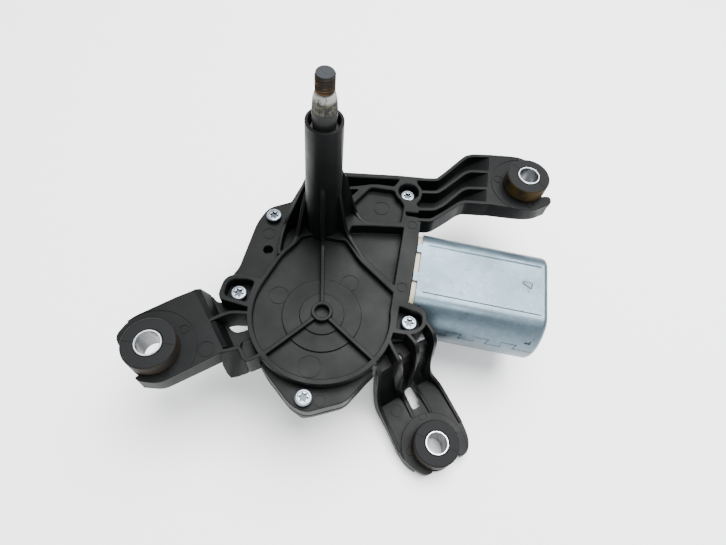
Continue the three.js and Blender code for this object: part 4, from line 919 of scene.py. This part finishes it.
def six_lobe(x, y, top):
    points = []
    for i in range(72):
        angle = tau * i / 72
        radius = 2 + 0.42 * cos(6 * angle)
        points.append(Vector((x + radius * cos(angle), y + radius * sin(angle))))
    return prism(points, top - 1.7, top + 1)


# ---------------------------------------------------------------- materials


class Look:
    """A Principled material with a few short ways to add procedural detail."""

    def __init__(self, name, color, roughness, metallic=0.0, specular=0.5):
        self.material = bpy.data.materials.new(name)
        self.material.use_nodes = True
        self.nodes = self.material.node_tree.nodes
        self.links = self.material.node_tree.links
        self.shader = self.nodes["Principled BSDF"]
        self.shader.inputs["Base Color"].default_value = (*color, 1)
        self.shader.inputs["Roughness"].default_value = roughness
        self.shader.inputs["Metallic"].default_value = metallic
        self.shader.inputs["Specular IOR Level"].default_value = specular
        self.color = color
        self.coordinates = self.nodes.new("ShaderNodeTexCoord").outputs["Object"]

    def node(self, kind, inputs=(), **settings):
        node = self.nodes.new("ShaderNode" + kind)
        for key, value in settings.items():
            setattr(node, key, value)
        for key, value in dict(inputs).items():
            if isinstance(value, bpy.types.NodeSocket):
                self.links.new(value, node.inputs[key])
            else:
                node.inputs[key].default_value = value
        return node

    def stretched(self, x, y, z):
        """Object coordinates scaled along each axis, for streaks."""
        return self.node("Mapping", {"Vector": self.coordinates, "Scale": (x, y, z)}).outputs["Vector"]

    def noise(self, scale, detail=4, roughness=0.55, vector=None):
        inputs = {"Vector": vector or self.coordinates, "Scale": scale, "Detail": detail,
                  "Roughness": roughness}
        return self.node("TexNoise", inputs).outputs["Fac"]

    def cells(self, scale, vector=None):
        """A grey value per crystal-like cell."""
        node = self.node("TexVoronoi", {"Vector": vector or self.coordinates, "Scale": scale})
        grey = self.node("RGBToBW", {"Color": node.outputs["Color"]})
        return grey.outputs["Val"]

    def span(self, value, low, high, to_low=0.0, to_high=1.0):
        """value moved from low..high to to_low..to_high, and held there."""
        inputs = {"Value": value, "From Min": low, "From Max": high, "To Min": to_low, "To Max": to_high}
        return self.node("MapRange", inputs).outputs["Result"]

    def times(self, a, b):
        return self.node("Math", {0: a, 1: b}, operation="MULTIPLY").outputs[0]

    def axis(self, name):
        """An object coordinate, in metres."""
        return self.node("SeparateXYZ", {"Vector": self.coordinates}).outputs[name]

    def facing_up(self):
        """1 on level upward faces, 0 on walls."""
        normal = self.node("NewGeometry").outputs["Normal"]
        local = self.node("VectorTransform", {"Vector": normal}, vector_type="NORMAL", convert_from="WORLD",
                          convert_to="OBJECT").outputs["Vector"]
        return self.span(self.node("SeparateXYZ", {"Vector": local}).outputs["Z"], 0.3, 0.95)

    def tint(self, share, color):
        """Mixes color over the base where share is above 0."""
        base = self.shader.inputs["Base Color"]
        before = base.links[0].from_socket if base.links else (*self.color, 1)
        mix = self.node("Mix", {"Factor": share}, data_type="RGBA")
        colour_in = [s for s in mix.inputs if s.type == "RGBA"]
        if isinstance(before, bpy.types.NodeSocket):
            self.links.new(before, colour_in[0])
        else:
            colour_in[0].default_value = before
        colour_in[1].default_value = (*color, 1)
        self.links.new([s for s in mix.outputs if s.type == "RGBA"][0], base)
        return self

    def rough(self, value):
        self.links.new(value, self.shader.inputs["Roughness"])
        return self

    def bump(self, height, distance, strength=1.0):
        """Adds relief of that depth in metres on top of any bump before it."""
        socket = self.shader.inputs["Normal"]
        inputs = {"Height": height, "Distance": distance, "Strength": strength}
        if socket.links:
            inputs["Normal"] = socket.links[0].from_socket
        self.links.new(self.node("Bump", inputs).outputs["Normal"], socket)
        return self


def moulded_plastic():
    look = Look("black_plastic", (0.0024, 0.0027, 0.0028), 0.4, specular=0.09)
    dust = look.times(look.span(look.noise(28, 6), 0.42, 0.72), look.facing_up())
    look.tint(look.times(dust, 0.5), (0.008, 0.0079, 0.0074))
    look.tint(look.span(look.noise(420, 3), 0.62, 0.8, 0, 0.3), (0.01, 0.01, 0.01))
    look.rough(look.span(look.noise(60, 5), 0.3, 0.7, 0.34, 0.52))
    look.bump(look.noise(2600, 3), 0.00003, 0.5)
    return look.bump(look.noise(90, 3), 0.00012, 0.35).material


def aged_rubber():
    look = Look("grommet_rubber", (0.0065, 0.007, 0.0075), 0.6, specular=0.09)
    side = look.span(look.facing_up(), 0.1, 0.9, 1, 0)
    far = look.span(look.axis("X"), 0.085, 0.1, 0.3, 1)
    stain = look.times(side, look.span(look.noise(120, 5), 0.3, 0.6))
    look.tint(look.times(stain, far), (0.04, 0.025, 0.006))
    look.tint(look.span(look.noise(500, 4), 0.6, 0.8, 0, 0.35), (0.02, 0.02, 0.017))
    return look.bump(look.noise(1500, 3), 0.00004, 0.5).material


def plain_rubber():
    look = Look("seal_rubber", (0.018, 0.018, 0.018), 0.7)
    return look.bump(look.noise(1200, 3), 0.00004, 0.5).material


def zinc_steel():
    look = Look("zinc_steel", (0.1, 0.142, 0.175), 0.36, metallic=0.8)
    look.tint(look.span(look.cells(300), 0.15, 0.85, 0, 0.55), (0.075, 0.108, 0.13))
    streaks = look.noise(24, 5, vector=look.stretched(0.5, 1, 1))
    look.tint(look.span(streaks, 0.4, 0.7, 0, 0.6), (0.065, 0.09, 0.1))
    look.tint(look.span(look.noise(900, 3), 0.6, 0.72, 0, 0.35), (0.24, 0.29, 0.32))
    look.tint(look.span(look.noise(420, 2), 0.68, 0.74, 0, 0.7), (0.03, 0.036, 0.04))
    look.rough(look.span(look.noise(45, 5), 0.3, 0.7, 0.26, 0.46))
    look.bump(look.cells(300), 0.00003, 0.5)
    return look.bump(look.noise(35, 2), 0.00025, 0.3).material


def bright_steel():
    """Plated steel with painted shade: its walls are darkened so that its level faces read bright."""
    look = Look("bright_steel", (0.62, 0.65, 0.68), 0.28, metallic=0.9)
    look.tint(look.span(look.noise(300, 4), 0.5, 0.8, 0, 0.5), (0.37, 0.39, 0.41))
    # painted shade: walls darker than the level faces, as overhead light would leave them
    look.tint(look.span(look.facing_up(), 0.1, 0.6, 0.85, 0), (0.08, 0.085, 0.09))
    look.rough(look.span(look.noise(500, 4), 0.3, 0.7, 0.22, 0.4))
    return look.bump(look.noise(1400, 2), 0.00002, 0.4).material


def screw_steel():
    """Screw steel with painted shade darkening the head's recess, its side and the shank below the bright
    top.
    """
    look = Look("screw_steel", (0.24, 0.28, 0.32), 0.3, metallic=0.9)
    look.tint(look.span(look.noise(300, 4), 0.5, 0.8, 0, 0.5), (0.15, 0.17, 0.19))
    # painted shade: below these heights the recess, the head's side and the shank are darkened
    shade_full_height, shade_free_height = ((SCREW_TOP - drop + RIM) * MM for drop in (0.75, 0.55))
    look.tint(look.span(look.axis("Z"), shade_full_height, shade_free_height, 0.9, 0), (0.016, 0.019, 0.023))
    return look.bump(look.noise(1400, 2), 0.00002, 0.4).material


def worn_steel():
    """The spindle: dark in the tube, mottled on the knurl, a white band, rust in the thread."""
    look = Look("worn_steel", (0.02, 0.02, 0.02), 0.45, metallic=0.3, specular=0.15)
    height = look.axis("Z")
    mottle = look.noise(520, 6, 0.65)

    def above(low, high):
        """0 below low and 1 above high, both in millimetres from the spindle's tip."""
        return look.span(height, low * MM, high * MM)

    lower = look.times(above(-26, -19), look.span(mottle, 0.4, 0.7, 0, 0.6))
    look.tint(lower, (0.04, 0.043, 0.038))
    knurl = look.times(above(-17.2, -16.2), look.span(mottle, 0.44, 0.58))
    look.tint(knurl, (0.09, 0.088, 0.062))
    band = look.times(above(-11.8, -10.6), look.span(mottle, 0.36, 0.5))
    look.tint(band, (0.26, 0.265, 0.25))
    thread = above(-8.8, -8.2)
    look.tint(thread, (0.016, 0.013, 0.01))
    rust = look.span(look.noise(160, 5, vector=look.stretched(0.5, 0.5, 7)), 0.52, 0.64)
    look.tint(look.times(thread, rust), (0.1, 0.05, 0.017))
    look.tint(above(-0.6, -0.4), (0.02, 0.022, 0.025))
    look.rough(look.span(mottle, 0.3, 0.7, 0.35, 0.75))
    return look.bump(look.noise(900, 5), 0.00012, 0.5).material


def simple_metal(name, color, roughness, fine=800):
    look = Look(name, color, roughness, metallic=0.9)
    look.tint(look.span(look.noise(fine, 4), 0.45, 0.75, 0, 0.6), tuple(c * 0.62 for c in color))
    return look.bump(look.noise(fine, 3), 0.00003, 0.5).material


def simple_plastic(name, color, roughness):
    look = Look(name, color, roughness)
    look.tint(look.span(look.noise(70, 4), 0.4, 0.7, 0, 0.5), tuple(c * 0.8 for c in color))
    return look.bump(look.noise(1800, 2), 0.00002, 0.4).material


def laminations():
    """Stacked thin sheets, as dark lines across the motor's axis."""
    look = Look("lamination", (0.2, 0.2, 0.21), 0.4, metallic=0.8)
    wave = look.node("TexWave", {"Vector": look.coordinates, "Scale": 320.0}, bands_direction="X")
    look.tint(look.span(wave.outputs["Fac"], 0.7, 0.95, 0, 0.7), (0.05, 0.05, 0.055))
    return look.bump(wave.outputs["Fac"], 0.00005, 0.5).material


def wound_copper():
    look = Look("copper", (0.5, 0.19, 0.07), 0.3, metallic=0.85)
    wave = look.node("TexWave", {"Vector": look.coordinates, "Scale": 160.0, "Distortion": 1.5},
                     bands_direction="DIAGONAL")
    look.tint(look.span(wave.outputs["Fac"], 0.5, 0.9, 0, 0.6), (0.22, 0.07, 0.03))
    return look.bump(wave.outputs["Fac"], 0.0001, 0.6).material


MATERIALS = {
    "black_plastic": moulded_plastic(),
    "grommet_rubber": aged_rubber(),
    "seal_rubber": plain_rubber(),
    "zinc_steel": zinc_steel(),
    "bright_steel": bright_steel(),
    "screw_steel": screw_steel(),
    "dark_steel": simple_metal("dark_steel", (0.03, 0.03, 0.03), 0.5),
    "worn_steel": worn_steel(),
    "sintered_bronze": simple_metal("sintered_bronze", (0.36, 0.2, 0.09), 0.55, 1600),
    "sintered_steel": simple_metal("sintered_steel", (0.2, 0.19, 0.18), 0.55, 1600),
    "white_plastic": simple_plastic("white_plastic", (0.3, 0.28, 0.2), 0.5),
    "brass": simple_metal("brass", (0.6, 0.42, 0.16), 0.3, 900),
    "copper": wound_copper(),
    "lamination": laminations(),
    "ferrite": simple_plastic("ferrite", (0.045, 0.045, 0.05), 0.75),
    "carbon": simple_plastic("carbon", (0.02, 0.02, 0.02), 0.6),
}

# ---------------------------------------------------------------- pieces

SLOT_OF = {part["node"]: part["material_slot"] for part in frame["record"]["subparts"]}
BODY_OF = {node: body for body, nodes in frame["record"]["behaviour"]["bodies"].items() for node in nodes}


def shade(thing, angle=32):
    """Smooth faces with crisp edges, and normals that keep the flat faces flat."""
    work = bmesh.new()
    work.from_mesh(thing.data)
    bmesh.ops.remove_doubles(work, verts=work.verts, dist=0.000002)
    bmesh.ops.dissolve_degenerate(work, edges=work.edges, dist=0.000002)
    work.to_mesh(thing.data)
    work.free()
    thing.data.shade_smooth()
    thing.data.set_sharp_from_angle(angle=radians(angle))
    weighted = thing.modifiers.new("weighted", "WEIGHTED_NORMAL")
    weighted.keep_sharp = True


def piece(thing, node):
    """Names a finished mesh after the CAD node that it stands for, and gives it that node's look."""
    thing.name = node + "_fine"
    thing.data.name = thing.name
    thing.data.materials.clear()
    thing.data.materials.append(MATERIALS[SLOT_OF[node]])
    shade(thing)
    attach(thing, BODY_OF[node])
    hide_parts(node)


FINE = {
    "housing": housing,
    "gear_case": gear_case,
    "motor_can": motor_can,
    "brush_plate": brush_plate,
    "output_shaft": output_shaft,
}
for node, make in FINE.items():
    piece(make(), node)
for i, place in enumerate(SCREWS):
    piece(case_screw(*place), f"case_screw_{i + 1}")
for side in MOUNTS:
    piece(grommet(side), f"grommet_{side}")
    piece(sleeve(side), f"sleeve_{side}")


def dress(node, thing):
    """Gives a CAD node that stays in view its look and slightly rounded edges."""
    thing.data.materials.clear()
    thing.data.materials.append(MATERIALS[SLOT_OF[node]])
    soften = thing.modifiers.new("soften", "BEVEL")
    soften.width = 0.00008
    soften.segments = 1
    soften.limit_method = "ANGLE"
    soften.angle_limit = radians(35)
    soften.harden_normals = False


for node, thing in frame["nodes"].items():
    if not thing.hide_render:
        dress(node, thing)

# ---------------------------------------------------------------- floor, light and camera


def stage_floor():
    """A wide pale floor just under the lowest point of the part."""
    level = cad_box[0].z - 0.0005
    mesh = bpy.data.meshes.new("floor")
    size = 3
    corners = [(-size, -size, level), (size, -size, level), (size, size, level), (-size, size, level)]
    mesh.from_pydata(corners, [], [(0, 1, 2, 3)])
    thing = bpy.data.objects.new("floor", mesh)
    bpy.context.scene.collection.objects.link(thing)
    mesh.materials.append(Look("floor", (0.93, 0.93, 0.93), 0.9, specular=0.1).material)


def area_light(name, place, target, size, power):
    data = bpy.data.lights.new(name, "AREA")
    data.shape = "DISK"
    data.size = size
    data.energy = power
    thing = bpy.data.objects.new(name, data)
    thing.location = place
    thing.rotation_euler = (Vector(target) - Vector(place)).to_track_quat("-Z", "Y").to_euler()
    bpy.context.scene.collection.objects.link(thing)


def camera():
    """The photograph's view: 60 degrees above the horizon, rolled a little, 25 mm lens."""
    data = bpy.data.cameras.new("camera")
    data.lens = 25
    data.clip_start = 0.01
    thing = bpy.data.objects.new("camera", data)
    right = Vector((0.9807, 0.1800, 0.0767))
    up = Vector((-0.1944, 0.8522, 0.4858))
    back = right.cross(up)
    turn = Matrix((right, up, back)).transposed()
    place = Vector((0.0314, -0.1484, 0.124))
    thing.matrix_world = Matrix.Translation(place) @ turn.to_4x4()
    bpy.context.scene.collection.objects.link(thing)
    bpy.context.scene.camera = thing


def surroundings():
    world = bpy.data.worlds.new("studio")
    world.use_nodes = True
    background = world.node_tree.nodes["Background"]
    background.inputs["Color"].default_value = (0.94, 0.97, 1, 1)
    background.inputs["Strength"].default_value = 1
    bpy.context.scene.world = world


stage_floor()
surroundings()
aim = (0.03, -0.01, -0.1)
area_light("key", (0.2, 0.3, 1.0), aim, 1.1, 55)
area_light("fill", (0.1, -0.6, 0.75), aim, 0.4, 5)
camera()
